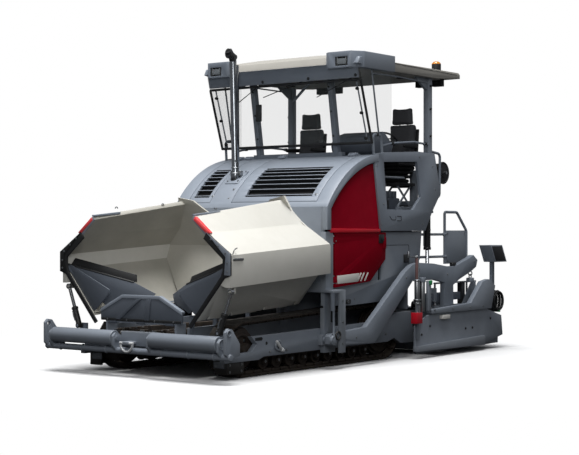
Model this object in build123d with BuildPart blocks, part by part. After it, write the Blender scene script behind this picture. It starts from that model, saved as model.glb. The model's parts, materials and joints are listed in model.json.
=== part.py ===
from build123d import *

import os
from math import atan2, ceil, cos, degrees, hypot, pi, radians, sin

# Tracked asphalt paver: tractor with hopper, hood, roofed platform, tow arms and extending screed.
# Frame: +X points forward to the push rollers, +Y to the machine's left, +Z up.
# The origin lies on the ground in the middle of the machine's length and width.

os.makedirs("parts", exist_ok=True)

# ---------------------------------------------------------------- driving dimensions (mm)
HALF_LENGTH = 3150          # the push rollers' front and the screed walkway's edge
PLATE = 20                  # frame plate
CLEAR = 8                   # gap between neighbouring pieces that move

# tracks
TRACK_INNER_Y = 690
TRACK_OUTER_Y = 990
SHOE_TIP_Z = 0
IDLER_X, IDLER_R = 2320, 250
SPROCKET_X, SPROCKET_R = -440, 300
BELT_T = 38                 # chain and pad base
SHOE_H = 26                 # height of a pad over the belt
SHOE_PITCH = 172

# side beams outside the tracks
BEAM_INNER_Y, BEAM_OUTER_Y = 1022, 1088

# main frame and material tunnel
FRAME_HALF = 600            # outer face of the two long walls
FRAME_LOW_Z, FRAME_TOP_Z = 290, 980
FRAME_REAR_X, FRAME_FRONT_X = -860, 2800
HOPPER_REAR_X = 1085        # rear edge of the hopper's wings
HOPPER_FRONT_X = 2915

# body
BODY_HALF = 1130            # outer face of the grey body walls
BODY_FRONT_X = 1052
BODY_LOW_Z = 745
DECK_Z = 1880               # top of the platform floor
PANEL_OUTER_Y = BODY_HALF + 42      # outer face of the red panels
SIDE_FRAME_Y = (BODY_HALF + PLATE, BODY_HALF + 3 * PLATE)   # the platform's side frames
DECK_REAR_HALF = BODY_HALF - 90     # the deck's narrower rear part
TRIM_Z = 1610               # seam between upper panel and lower door

# hood arc: three points of its outer profile in XZ
HOOD_FRONT = (1052, 1880)
HOOD_MID = (640, 2318)
HOOD_REAR = (-30, 2560)
HOOD_T = 30
HOOD_HALF = BODY_HALF + 65
LID_SPLIT = (-640, -300)    # the fixed strip between the lids carries the exhaust
LID_SIDE_Y = 1010           # outer edge of both lids

# hopper wings: hinge axis rises to the rear with the tracks
WING_TILT = 3.4             # degrees
WING_PIN_Y, WING_PIN_Z = 775, 668     # hinge pin at the front end
WING_PIN_R = 16

# push beam
SWING_X = FRAME_FRONT_X + 50    # upright pivot pin of the beam
APRON_X, APRON_PIN_Z = 2935, 600
ROLLER_X, ROLLER_Z, ROLLER_R = 3064, 428, 85
ROLLER_IN_Y, ROLLER_OUT_Y = 275, 1240
TOW_HOLE_R = 24             # shackle hole in the beam's end lugs

# roof
ROOF_FRONT_X, ROOF_REAR_X = 452, -1950
ROOF_HALF = BODY_HALF + 85
ROOF_LOW_Z, ROOF_TOP_Z = 3600, 3800
CORNER_LOW_Z = ROOF_LOW_Z - 8       # underside of the roof's lamp corners
POST_REAR_X, POST_REAR_Y = -1310, BODY_HALF - 22
POST_FRONT_Y = 612

# tow arms and screed
TOW_X, TOW_Z = 1050, 345    # tow point
COLUMN_X, COLUMN_TOP_Z = (832, 950), 930
ARM_INNER_Y = BODY_HALF + 60
ARM_OUTER_Y = ARM_INNER_Y + 72
AUGER_X, AUGER_Z, AUGER_R = -1110, 395, 175
SCREED_FRONT_X, SCREED_REAR_X = -1315, -1880
WALKWAY_DEPTH = 250         # the step behind the extending screeds
EXT_FRONT_X, EXT_REAR_X = -1920, WALKWAY_DEPTH - HALF_LENGTH
SCREED_LOW_Z = 60
GATE_INNER_Y, GATE_OUTER_Y = ARM_OUTER_Y + 13, ARM_OUTER_Y + 38
SCREED_HALF = GATE_INNER_Y - 35     # half width of the fixed screed
LIFT_X, LIFT_TOP_Z, LIFT_EYE_Z = -1320, 1960, 1120
LIFT_Y = BODY_HALF - 38


def write(part, name):
    """Label a finished piece and write it as one STEP file."""
    part.label = name
    export_step(part, f"parts/{name}.step")


def write_pair(part, name):
    """Write a left piece and its mirror image on the right."""
    write(mirror(part, about=Plane.XZ), f"{name}_right")
    write(part, f"{name}_left")


def both(part):
    """The left piece and its mirror image as one node."""
    return Compound(children=[*part.solids(), *mirror(part, about=Plane.XZ).solids()])


def side_plane(y):
    """Plane across the machine at this y: sketch x is X, sketch y is Z, extrude(-t) goes to +Y."""
    return Plane.XZ.offset(-y)


def front_plane(x):
    """Plane at this x: sketch x is Y, sketch y is Z, extrude(t) goes to +X."""
    return Plane.YZ.offset(x)


def side_slab(points, y_low, y_high):
    """Flat piece with an XZ outline between two y values."""
    with BuildPart() as slab:
        with BuildSketch(side_plane(y_low)):
            with BuildLine():
                Polyline(points, close=True)
            make_face()
        extrude(amount=-(y_high - y_low))
    return slab.part


def front_slab(points, x_low, x_high):
    """Flat piece with a YZ outline between two x values."""
    with BuildPart() as slab:
        with BuildSketch(front_plane(x_low)):
            with BuildLine():
                Polyline(points, close=True)
            make_face()
        extrude(amount=x_high - x_low)
    return slab.part


def box(x, y, z):
    """Box between pairs of limits."""
    size = [b - a for a, b in (x, y, z)]
    middle = [(a + b) / 2 for a, b in (x, y, z)]
    with BuildPart(mode=Mode.PRIVATE) as block:
        with Locations(tuple(middle)):
            Box(*size)
    return block.part


def rod(start, end, radius, bore=0.0):
    """Round bar or tube between two points."""
    axis = Vector(*end) - Vector(*start)
    with BuildPart(mode=Mode.PRIVATE) as bar:
        with BuildSketch(Plane(origin=start, z_dir=axis)):
            Circle(radius)
            if bore:
                Circle(bore, mode=Mode.SUBTRACT)
        extrude(amount=axis.length)
    return bar.part


def pipe_route(points, radii, radius):
    """Bent round bar along straight runs and arcs."""
    with BuildPart(mode=Mode.PRIVATE) as bent:
        with BuildLine() as route:
            FilletPolyline(*points, radius=radii)
        with BuildSketch(Plane(origin=route.wire() @ 0, z_dir=route.wire() % 0)):
            Circle(radius)
        sweep(path=route.wire())
    return bent.part


# the wings' long axis rises towards the rear
WING_RISE = sin(radians(WING_TILT)) / cos(radians(WING_TILT))
# wing cylinder in the plane x = CYL_X: its base on the frame and its eye under the wing (y, z)
CYL_X = FRAME_FRONT_X + 50
CYL_BASE, CYL_EYE = (1060, 525), (1225, 975)


def wing_lift(x):
    """How much higher the wing lies at this x than at its front end."""
    return (HOPPER_FRONT_X - x) * WING_RISE


# ---------------------------------------------------------------- main frame
with BuildPart() as main_frame:
    for side in (-1, 1):
        inner, outer = sorted((side * (FRAME_HALF - 40), side * FRAME_HALF))
        add(side_slab([(FRAME_REAR_X, FRAME_LOW_Z), (FRAME_FRONT_X, FRAME_LOW_Z), (FRAME_FRONT_X, 560),
                       (BODY_FRONT_X, 590), (BODY_FRONT_X, FRAME_TOP_Z), (FRAME_REAR_X, FRAME_TOP_Z)],
                      inner, outer))
    add(box((FRAME_REAR_X + 60, FRAME_FRONT_X), (-FRAME_HALF + 20, FRAME_HALF - 20), (FRAME_LOW_Z, 320)))
    add(box((FRAME_REAR_X, BODY_FRONT_X), (-FRAME_HALF + 20, FRAME_HALF - 20), (FRAME_TOP_Z - 30, FRAME_TOP_Z)))
    # front cross beam with its two legs down to the skirts
    add(box((FRAME_FRONT_X - 135, FRAME_FRONT_X), (-BEAM_INNER_Y, BEAM_INNER_Y), (275, 420)))
    # rear cross beam behind the tracks
    for side in (-1, 1):
        add(box((-905, -845), sorted((side * (FRAME_HALF - 40), side * BEAM_INNER_Y)), (300, 560)))
    # ears and pin of the push beam, and the base pins of the wing cylinders
    for low in (305, 432):
        add(box((FRAME_FRONT_X - 10, SWING_X + 25), (-90, 90), (low, low + 28)))
    add(rod((SWING_X, 0, 300), (SWING_X, 0, 465), 30))
    add(rod((APRON_X, -530, APRON_PIN_Z), (APRON_X, 530, APRON_PIN_Z), 10))
    for side in (-1, 1):
        base_y = side * CYL_BASE[0]
        add(box((FRAME_FRONT_X - 20, FRAME_FRONT_X + 12), sorted((side * 985, side * (CYL_BASE[0] + 28))), (375, CYL_BASE[1] + 28)))
        add(rod((FRAME_FRONT_X, base_y, CYL_BASE[1]), (CYL_X + 34, base_y, CYL_BASE[1]), 14))
        # pin and arms of the front apron
        add(box((FRAME_FRONT_X - 10, APRON_X + 11), (side * 520 - 12, side * 520 + 12), (410, 611)))
        # hinge lugs of the wings
        for lug_x in (1180, 1760, 2340, 2740):
            pin_z = WING_PIN_Z + wing_lift(lug_x)
            add(front_slab([(side * 560, 500), (side * 600, 500), (side * 620, pin_z - 60), (side * 760, pin_z - 24),
                            (side * 792, pin_z - 12), (side * 792, pin_z + 12), (side * 760, pin_z + 24),
                            (side * 560, pin_z + 10)], lug_x, lug_x + 25))
        add(rod((1170, side * WING_PIN_Y, WING_PIN_Z + wing_lift(1170)),
                (2780, side * WING_PIN_Y, WING_PIN_Z + wing_lift(2780)), WING_PIN_R))
write(main_frame.part, "main_frame")

with BuildPart() as side_beam:
    add(side_slab([(FRAME_FRONT_X, 195), (FRAME_FRONT_X, 275), (2330, 290), (2235, 372), (2330, 458), (-300, 500), (-598, 588),
                   (-930, 588), (-1020, 190), (-690, 195), (-540, 269), (-400, 232), (2110, 225), (2200, 195)],
                  BEAM_INNER_Y, BEAM_OUTER_Y))
write(both(side_beam.part), "side_beams")

with BuildPart() as skirt:
    add(side_slab([(2405, 60), (2693, 60), (2693, 195), (2405, 195)], 1005, 1041))
    add(side_slab([(2665, 60), (2693, 60), (2693, 275), (2665, 275)], 862, 1015))
write(both(skirt.part), "front_skirts")

# ---------------------------------------------------------------- tracks
IDLER_Z = SHOE_TIP_Z + SHOE_H + BELT_T + IDLER_R
SPROCKET_Z = SHOE_TIP_Z + SHOE_H + BELT_T + SPROCKET_R


def loop_sketch(offset_out):
    """Outline of the track loop around idler and sprocket, moved out by an offset."""
    r_front, r_rear = IDLER_R + offset_out, SPROCKET_R + offset_out
    lean = atan2(SPROCKET_Z - IDLER_Z, IDLER_X - SPROCKET_X)
    turn = lean + atan2(r_rear - r_front, hypot(IDLER_X - SPROCKET_X, SPROCKET_Z - IDLER_Z))
    top_front = (IDLER_X + r_front * sin(turn), IDLER_Z + r_front * cos(turn))
    top_rear = (SPROCKET_X + r_rear * sin(turn), SPROCKET_Z + r_rear * cos(turn))
    with BuildLine() as line:
        Line(top_rear, top_front)
        ThreePointArc(top_front, (IDLER_X + r_front, IDLER_Z), (IDLER_X, IDLER_Z - r_front))
        Line((IDLER_X, IDLER_Z - r_front), (SPROCKET_X, SPROCKET_Z - r_rear))
        ThreePointArc((SPROCKET_X, SPROCKET_Z - r_rear), (SPROCKET_X - r_rear, SPROCKET_Z), top_rear)
    return line.wire()


with BuildPart() as track:
    outer_wire = loop_sketch(BELT_T)
    shoe_count = round(outer_wire.length / SHOE_PITCH)
    with BuildSketch(side_plane(TRACK_INNER_Y)):
        with BuildLine():
            add(outer_wire)
        make_face()
        with BuildLine():
            add(loop_sketch(0))
        make_face(mode=Mode.SUBTRACT)
        for shoe in range(shoe_count):
            spot = outer_wire @ ((shoe + 0.5) / shoe_count)
            along = outer_wire % ((shoe + 0.5) / shoe_count)
            with Locations(Location((spot.X, spot.Y), degrees(atan2(along.Y, along.X)))):
                Rectangle(SHOE_PITCH * 0.86, 2 * SHOE_H)
    extrude(amount=-(TRACK_OUTER_Y - TRACK_INNER_Y))
write_pair(track.part, "track")

# rollers, idler and sprocket inside each loop, on a beam fixed to the frame
WHEEL_GAP = 0.4             # wheel rims stay this far inside the belt
ROLLER_COUNT, LOWER_ROLLER_R = 9, 88
with BuildPart() as undercarriage:
    add(box((IDLER_X - 2650, IDLER_X + 120), (FRAME_HALF, 730), (250, 400)))
    for wheel_x, wheel_z, wheel_r in ((IDLER_X, IDLER_Z, IDLER_R), (SPROCKET_X, SPROCKET_Z, SPROCKET_R)):
        add(rod((wheel_x, 735, wheel_z), (wheel_x, 945, wheel_z), wheel_r - WHEEL_GAP))
        add(rod((wheel_x, FRAME_HALF, wheel_z), (wheel_x, BEAM_INNER_Y, wheel_z), 70))
    roller_z = SHOE_H + BELT_T + LOWER_ROLLER_R + WHEEL_GAP
    for number in range(ROLLER_COUNT):
        roller_x = SPROCKET_X + 380 + number * 250
        add(rod((roller_x, 745, roller_z), (roller_x, 950, roller_z), LOWER_ROLLER_R))
    add(box((SPROCKET_X + 345, IDLER_X - 330), (720, 960), (roller_z + 40, 390)))
write(both(undercarriage.part), "undercarriage")

# ---------------------------------------------------------------- conveyor through the tunnel
SLAT_PITCH = 215
with BuildPart() as conveyor:
    add(box((FRAME_REAR_X, 2790), (-FRAME_HALF + 42, FRAME_HALF - 42), (440, 470)))
    add(box((FRAME_REAR_X, 2790), (-30, 30), (440, 560)))
    for number in range(int((2760 - FRAME_REAR_X) // SLAT_PITCH) + 1):
        slat_x = FRAME_REAR_X + 40 + number * SLAT_PITCH
        add(box((slat_x, slat_x + 30), (-FRAME_HALF + 60, FRAME_HALF - 60), (465, 500)))
    add(box((2600, 2640), (-FRAME_HALF + 42, FRAME_HALF - 42), (320, 450)))
    add(box((200, 240), (-FRAME_HALF + 42, FRAME_HALF - 42), (320, 450)))
write(conveyor.part, "conveyor")

# ---------------------------------------------------------------- push beam and rollers
with BuildPart() as push_beam:
    add(box((2892, 2990), (-250, 250), (345, 500)))
    add(box((2820, 2900), (-70, 70), (341, 424)))
    add(box((2890, 2945), (-1370, 1370), (330, 400)))
    add(rod((SWING_X, 0, 340), (SWING_X, 0, 425), 30.3), mode=Mode.SUBTRACT)
    add(rod((ROLLER_X - 20, -1375, 292), (ROLLER_X - 20, 1375, 292), 36))
    for side in (-1, 1):
        for y in (side * 262, side * 1265):
            add(side_slab([(2890, 300), (ROLLER_X + 20, 290), (ROLLER_X + 62, 350), (ROLLER_X + 62, 450),
                           (ROLLER_X + 20, 490), (2890, 420)], y - 13, y + 13))
        add(side_slab([(2885, 300), (ROLLER_X + 5, 290), (ROLLER_X + 52, 330), (ROLLER_X + 52, 560),
                       (ROLLER_X + 10, 600), (ROLLER_X - 50, 590), (2885, 430)], side * 1357 - 18, side * 1357 + 18))
    for side in (-1, 1):
        add(rod((ROLLER_X, side * 240, ROLLER_Z), (ROLLER_X, side * 1272, ROLLER_Z), 30))
        add(rod((ROLLER_X, side * 1330, 548), (ROLLER_X, side * 1385, 548), TOW_HOLE_R), mode=Mode.SUBTRACT)
write(push_beam.part, "push_beam")

with BuildPart() as push_roller:
    add(rod((ROLLER_X, ROLLER_IN_Y + 8, ROLLER_Z), (ROLLER_X, ROLLER_OUT_Y, ROLLER_Z), ROLLER_R, 30.3))
write_pair(push_roller.part, "push_roller")

# ---------------------------------------------------------------- hopper wings
# section (y, z) at the front end: inner face, then outer face
WING_INNER = ((752, 660), (1190, 1175), (1212, 1345), (938, 1562), (738, 1752))
WING_OUTER = ((766, 1792), (976, 1600), (1265, 1362), (1265, 1018), (1205, 1018), (1130, 1046), (800, 648))
RAIL_TOP_Z = 1700
WING_RAIL_MID, WING_REAR_TOP = (2123, 1945), (1374, 2040)
WING_REAR_KNEE = (HOPPER_REAR_X, 1440)
# lean of the rear wall, outer face (x, z), and its outline (y, z)
REAR_WALL_FACE = ((1440, 745), (1305, 1010), WING_REAR_KNEE, WING_REAR_TOP)
REAR_WALL_T = 32

with BuildPart() as wing:
    for station, rail_rise in ((HOPPER_REAR_X, 120), (HOPPER_FRONT_X, 0)):
        with BuildSketch(front_plane(station)):
            with BuildLine():
                rise = wing_lift(station)
                Polyline(*[(y, z + rise + (rail_rise if z > RAIL_TOP_Z else 0))
                           for y, z in WING_INNER + WING_OUTER], close=True)
            make_face()
    loft(ruled=True)
    with BuildSketch(side_plane(0)):
        with BuildLine():
            Polyline(WING_REAR_TOP, WING_REAR_KNEE, (HOPPER_REAR_X, 500), (HOPPER_FRONT_X, 500),
                     (HOPPER_FRONT_X, 1796))
            ThreePointArc((HOPPER_FRONT_X, 1796), WING_RAIL_MID, WING_REAR_TOP)
        make_face()
    extrude(amount=-1400, mode=Mode.INTERSECT)
    # room for the frame's hinge lugs
    for lug_x in (1180, 1760, 2340, 2740):
        pin_z = WING_PIN_Z + wing_lift(lug_x)
        add(rod((lug_x - CLEAR, WING_PIN_Y, pin_z), (lug_x + 25 + CLEAR, WING_PIN_Y, pin_z), 62), mode=Mode.SUBTRACT)
    # knuckles around the pin
    for knuckle_x in (1300, 1880, 2460):
        start, end = knuckle_x, knuckle_x + 120
        add(rod((start, WING_PIN_Y, WING_PIN_Z + wing_lift(start)),
                (end, WING_PIN_Y, WING_PIN_Z + wing_lift(end)), 30))
    add(rod((1100, WING_PIN_Y, WING_PIN_Z + wing_lift(1100)),
            (2900, WING_PIN_Y, WING_PIN_Z + wing_lift(2900)), WING_PIN_R + 0.4), mode=Mode.SUBTRACT)
    # lug for the cylinder's eye
    add(front_slab([(CYL_EYE[0] - 24, 1040), (CYL_EYE[0] - 24, CYL_EYE[1] - 24), (CYL_EYE[0] + 24, CYL_EYE[1] - 24),
                    (CYL_EYE[0] + 24, 1040)], CYL_X - 50, CYL_X - 36))
    add(rod((CYL_X - 40, *CYL_EYE), (CYL_X + 20, *CYL_EYE), 10))

with BuildPart() as rear_wall:
    back = [(x, z) for x, z in REAR_WALL_FACE]
    front = [(x + REAR_WALL_T, z) for x, z in reversed(REAR_WALL_FACE)]
    add(side_slab(back + front, 12, 1250))
    rise = wing_lift(HOPPER_REAR_X)
    add(front_slab([(12, 800), (700, 735), (1200, 1180 + rise), (1225, 1345 + rise), (880, 1700 + rise),
                    (820, 2030), (600, 1990), (470, 1885), (12, 1560)], HOPPER_REAR_X - 20, 1600),
        mode=Mode.INTERSECT)
with BuildPart() as wing_whole:
    add(wing.part)
    add(rear_wall.part)
write_pair(wing_whole.part, "hopper_wing")

SEAL_OUTLINE = ((905, 1540), (950, 1610), (1288, 1378), (1288, 1150), (1200, 1120), (728, 565), (688, 590),
                (1150, 1140), (1175, 1200), (1175, 1320))
write_pair(front_slab(SEAL_OUTLINE, HOPPER_FRONT_X, HOPPER_FRONT_X + 20), "wing_seal")

# folding corner plate inside each wing's front edge, with its rubber lip
CORNER_PLATE = ((780, 700), (1200, 1168), (1216, 1252), (533, 955), (533, 905), (739, 728))
with BuildPart() as corner_plate:
    add(front_slab(CORNER_PLATE, 2880, 2898))
    add(wing_whole.part, mode=Mode.SUBTRACT)
write_pair(corner_plate.part, "wing_corner_plate")

# wing cylinders
CYL_LENGTH = hypot(CYL_EYE[0] - CYL_BASE[0], CYL_EYE[1] - CYL_BASE[1])
CYL_DIR = ((CYL_EYE[0] - CYL_BASE[0]) / CYL_LENGTH, (CYL_EYE[1] - CYL_BASE[1]) / CYL_LENGTH)


def along_cylinder(distance):
    """Point on the wing cylinder's centre line."""
    return (CYL_X, CYL_BASE[0] + CYL_DIR[0] * distance, CYL_BASE[1] + CYL_DIR[1] * distance)


with BuildPart() as wing_barrel:
    add(rod(along_cylinder(0), along_cylinder(225), 33))
    add(rod(along_cylinder(42), along_cylinder(230), 21), mode=Mode.SUBTRACT)
    add(rod((CYL_X - 33, *CYL_BASE), (CYL_X + 33, *CYL_BASE), 30))
    add(rod((CYL_X - 40, *CYL_BASE), (CYL_X + 40, *CYL_BASE), 14.3), mode=Mode.SUBTRACT)
write_pair(wing_barrel.part, "wing_barrel")

with BuildPart() as wing_rod:
    add(rod(along_cylinder(195), along_cylinder(CYL_LENGTH), 20))
    add(rod((CYL_X - 22, *CYL_EYE), (CYL_X + 22, *CYL_EYE), 31))
    add(rod((CYL_X - 40, *CYL_EYE), (CYL_X + 40, *CYL_EYE), 22), mode=Mode.SUBTRACT)
write_pair(wing_rod.part, "wing_rod")

# front apron between the wings
with BuildPart() as front_apron:
    add(front_slab([(-615, 618), (615, 618), (615, 715), (275, 882), (-275, 882), (-615, 715)], 2925, 2945))
    add(front_slab([(615, 715), (275, 882), (-275, 882), (-615, 715), (-615, 740), (-285, 905), (285, 905),
                    (615, 740)], 2895, 2945))
    for hinge_y in (-430, 0, 430):
        add(rod((APRON_X, hinge_y - 60, APRON_PIN_Z), (APRON_X, hinge_y + 60, APRON_PIN_Z), 20))
    add(rod((APRON_X, -560, APRON_PIN_Z), (APRON_X, 560, APRON_PIN_Z), 10.3), mode=Mode.SUBTRACT)
write(front_apron.part, "front_apron")

# ---------------------------------------------------------------- engine, body and hood
with BuildPart() as engine_block:
    add(box((-40, 900), (-430, 430), (1050, 1780)))
    add(box((0, 700), (-330, 330), (FRAME_TOP_Z, 1060)))
write(engine_block.part, "engine_block")

REAR_WALL_X = -1110         # rear face of the tractor's body
DOOR_FRONT_X = 872
DOOR_PIN = (DOOR_FRONT_X, PANEL_OUTER_Y - 12)
DOOR_KNUCKLES = ((1010, 1080), (1480, 1550))
with BuildPart() as body_side:
    # wall under the hood and platform, with its front post and the short floor to the frame
    add(side_slab([(BODY_FRONT_X, BODY_LOW_Z), (BODY_FRONT_X, TRIM_Z), (BODY_FRONT_X - 160, TRIM_Z),
                   (BODY_FRONT_X - 160, 1010), (-180, 1010), (-180, TRIM_Z), (-560, TRIM_Z + 6),
                   (-1120, TRIM_Z + 6), (-1080, 1250), (-700, 1100), (-600, 760), (500, 725)],
                  BODY_HALF - 30, BODY_HALF))
    add(box((-850, BODY_FRONT_X), (FRAME_HALF, BODY_HALF - 30), (FRAME_TOP_Z - 30, FRAME_TOP_Z)))
    add(box((BODY_FRONT_X - 150, BODY_FRONT_X), (BODY_HALF, BODY_HALF + 40), (COLUMN_TOP_Z + 2, TRIM_Z)))
    add(box((BODY_FRONT_X - 30, BODY_FRONT_X), (FRAME_HALF, BODY_HALF), (900, 1010)))
    add(box((REAR_WALL_X, REAR_WALL_X + 30), (620, BODY_HALF - 30), (1240, TRIM_Z)))
    add(box((REAR_WALL_X, FRAME_REAR_X), (FRAME_HALF - 40, FRAME_HALF), (900, 1610)))
    add(box((REAR_WALL_X, -820), (FRAME_HALF, BODY_HALF - 30), (1560, 1590)))
    # hinge pins of the doors
    for low, high in DOOR_KNUCKLES:
        add(rod((*DOOR_PIN, low - 12), (*DOOR_PIN, high + 12), 5))
        for edge in (low - 12, high + 6):
            add(box((DOOR_PIN[0] - 6, 905), (DOOR_PIN[1] - 6, DOOR_PIN[1] + 6), (edge, edge + 6)))
write(both(body_side.part), "body_sides")

HOOD_INNER_FRONT = (HOOD_FRONT[0] - HOOD_T, HOOD_FRONT[1])


def hood_skin():
    """Hood section in XZ: a strip along the arc, with the straight front below it."""
    with BuildSketch(side_plane(0), mode=Mode.PRIVATE) as strip:
        with BuildLine():
            Line((HOOD_FRONT[0], 1905), (HOOD_FRONT[0] - HOOD_T, 1905))
            ThreePointArc((HOOD_FRONT[0] - HOOD_T, 1905), (HOOD_MID[0] - 17, HOOD_MID[1] - 25),
                          (HOOD_REAR[0], HOOD_REAR[1] - HOOD_T))
            Line((HOOD_REAR[0], HOOD_REAR[1] - HOOD_T), HOOD_REAR)
            ThreePointArc(HOOD_REAR, HOOD_MID, (HOOD_FRONT[0], 1905))
        make_face()
    return strip.sketch


def hood_fill():
    """Solid under the hood's outer arc, used to trim what stands on the hood."""
    with BuildPart(mode=Mode.PRIVATE) as fill:
        with BuildSketch(side_plane(0)):
            with BuildLine():
                ThreePointArc(HOOD_REAR, HOOD_MID, (HOOD_FRONT[0], 1905))
                Line((HOOD_FRONT[0], 1905), (HOOD_REAR[0], 1905))
                Line((HOOD_REAR[0], 1905), HOOD_REAR)
            make_face()
        extrude(amount=HOOD_HALF, both=True)
    return fill.part


LID_FRONT_X, LID_REAR_X = 1010, 70      # the lids' seams across the hood
LID_PIN_X, LID_PIN_Z = 84, 2572
LID_HINGE_Y = ((-240, -140), (850, 950), (-950, -850), (-800, -700))    # ends of the lids' four hinge barrels
with BuildPart() as hood_shell:
    extrude(to_extrude=hood_skin(), amount=HOOD_HALF, both=True)
    # straight front under the arc and the rear wall against the platform
    add(box((HOOD_FRONT[0] - HOOD_T, HOOD_FRONT[0]), (-BODY_HALF + 30, BODY_HALF - 30), (1010, 1905)))
    add(box((-60, -30), (-BODY_HALF, BODY_HALF), (DECK_Z + 2, 2560)))
    # side rims the red panels sit against
    for side in (-1, 1):
        inner, outer = sorted((side * (HOOD_HALF - 60), side * HOOD_HALF))
        with BuildSketch(side_plane(inner)):
            with BuildLine():
                Line((1052, TRIM_Z + 25), (1052, 1905))
                ThreePointArc((1052, 1905), HOOD_MID, HOOD_REAR)
                Line(HOOD_REAR, (-30, 2475))
                ThreePointArc((-30, 2475), (HOOD_MID[0] - 50, HOOD_MID[1] - 78), (975, 1880))
                Line((975, 1880), (975, TRIM_Z + 25))
                Line((975, TRIM_Z + 25), (1052, TRIM_Z + 25))
            make_face()
        extrude(amount=-(outer - inner))
    # openings of the two lids
    for low, high in ((LID_SPLIT[1], LID_SIDE_Y), (-LID_SIDE_Y, LID_SPLIT[0])):
        add(box((LID_REAR_X, LID_FRONT_X), (low, high), (1930, 2700)), mode=Mode.SUBTRACT)
    # hinge pins of the lids on brackets behind the openings
    for first, last in LID_HINGE_Y:
        add(rod((LID_PIN_X, first - 12, LID_PIN_Z), (LID_PIN_X, last + 12, LID_PIN_Z), 6))
        for y in (first - 12, last + 4):
            add(box((LID_PIN_X - 9, LID_PIN_X + 9), (y, y + 8), (LID_PIN_Z - 9, LID_PIN_Z + 9)))
            add(box((30, LID_PIN_X + 9), (y, y + 8), (LID_PIN_Z - 60, LID_PIN_Z - 9)))
write(hood_shell.part, "hood_shell")

# lids hinged at their rear edge, with louvre slats across a window
LOUVRE_X = (505, 955)
SLATS = 7
arc_centre_line = ThreePointArc(HOOD_REAR, HOOD_MID, HOOD_FRONT)
HOOD_CENTRE = arc_centre_line.arc_center
HOOD_RADIUS = arc_centre_line.radius


def hood_height(x):
    """Height of the hood's outer arc at this x."""
    return HOOD_CENTRE.Y + (HOOD_RADIUS ** 2 - (x - HOOD_CENTRE.X) ** 2) ** 0.5


for lid_name, low, high, vent_low, vent_high in (("hood_lid_left", LID_SPLIT[1], LID_SIDE_Y, -120, 900),
                                                 ("hood_lid_right", -LID_SIDE_Y, LID_SPLIT[0], -945, -700)):
    with BuildPart() as hood_lid:
        extrude(to_extrude=hood_skin(), amount=HOOD_HALF, both=True)
        add(box((LID_REAR_X + CLEAR, LID_FRONT_X - CLEAR), (low + CLEAR, high - CLEAR), (1900, 2700)),
            mode=Mode.INTERSECT)
        add(box(LOUVRE_X, (vent_low, vent_high), (1900, 2700)), mode=Mode.SUBTRACT)
        for slat in range(SLATS):
            slat_x = LOUVRE_X[0] + (slat + 0.5) * (LOUVRE_X[1] - LOUVRE_X[0]) / SLATS
            slat_z = hood_height(slat_x)
            add(side_slab([(slat_x - 22, slat_z - 34), (slat_x - 16, slat_z - 44), (slat_x + 20, slat_z - 8),
                           (slat_x + 12, slat_z - 2)], vent_low - 10, vent_high + 10))
        for first, last in LID_HINGE_Y:
            if low < first < high:
                add(rod((LID_PIN_X, first, LID_PIN_Z), (LID_PIN_X, last, LID_PIN_Z), 12))
                add(box((LID_PIN_X, LID_REAR_X + 70), (first, last), (LID_PIN_Z - 30, LID_PIN_Z - 4)))
                add(box((LID_REAR_X, LID_PIN_X + 12), (first - 14, first - 1), (LID_PIN_Z - 90, LID_PIN_Z + 20)),
                    mode=Mode.SUBTRACT)
                add(box((LID_REAR_X, LID_PIN_X + 12), (last + 1, last + 14), (LID_PIN_Z - 90, LID_PIN_Z + 20)),
                    mode=Mode.SUBTRACT)
        add(rod((LID_PIN_X, low, LID_PIN_Z), (LID_PIN_X, high, LID_PIN_Z), 6.4), mode=Mode.SUBTRACT)
    write(hood_lid.part, lid_name)

STACK_Y, STACK_X = -490, 690
STACK_BASE_Z = hood_height(STACK_X)
with BuildPart() as exhaust_stack:
    add(rod((STACK_X, STACK_Y, STACK_BASE_Z - 45), (STACK_X, STACK_Y, STACK_BASE_Z + 90), 62))
    add(pipe_route([(STACK_X, STACK_Y, STACK_BASE_Z + 80), (STACK_X + 50, STACK_Y, 3780),
                    (STACK_X + 135, STACK_Y, 3872)], 120, 45))
    add(hood_fill(), mode=Mode.SUBTRACT)
write(exhaust_stack.part, "exhaust_stack")

# red panels: fixed upper panel under the hood's arc, hinged door below it
with BuildPart() as side_panel:
    with BuildSketch(side_plane(PANEL_OUTER_Y - 34)):
        with BuildLine():
            Line((968, TRIM_Z + 8), (968, 1890))
            ThreePointArc((968, 1890), (HOOD_MID[0] - 55, HOOD_MID[1] - 86), (56, 2441))
            Line((56, 2441), (-85, TRIM_Z + 8))
            Line((-85, TRIM_Z + 8), (968, TRIM_Z + 8))
        make_face()
    extrude(amount=-30)
    add(hood_shell.part, mode=Mode.SUBTRACT)
    add(box((-85, 962), (PANEL_OUTER_Y - 34, PANEL_OUTER_Y + 12), (TRIM_Z, TRIM_Z + 35)))
write(both(side_panel.part), "side_panels")

DOOR_OUTLINE = ((DOOR_FRONT_X, 952), (127, 1004), (-212, 1271), (-223, TRIM_Z - 12), (DOOR_FRONT_X, TRIM_Z - 12))
with BuildPart() as side_door:
    add(side_slab(DOOR_OUTLINE, BODY_HALF + 6, PANEL_OUTER_Y))
    add(box((-205, -150), (PANEL_OUTER_Y, PANEL_OUTER_Y + 18), (1400, 1540)))
    for low, high in DOOR_KNUCKLES:
        add(rod((*DOOR_PIN, low), (*DOOR_PIN, high), 11))
        for edge in (low - 16, high + 1):
            add(box((DOOR_PIN[0] - 22, 900), (DOOR_PIN[1] - 40, DOOR_PIN[1] + 30), (edge, edge + 15)), mode=Mode.SUBTRACT)
    add(rod((*DOOR_PIN, 900), (*DOOR_PIN, 1610), 5.3), mode=Mode.SUBTRACT)
write_pair(side_door.part, "side_door")

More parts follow.
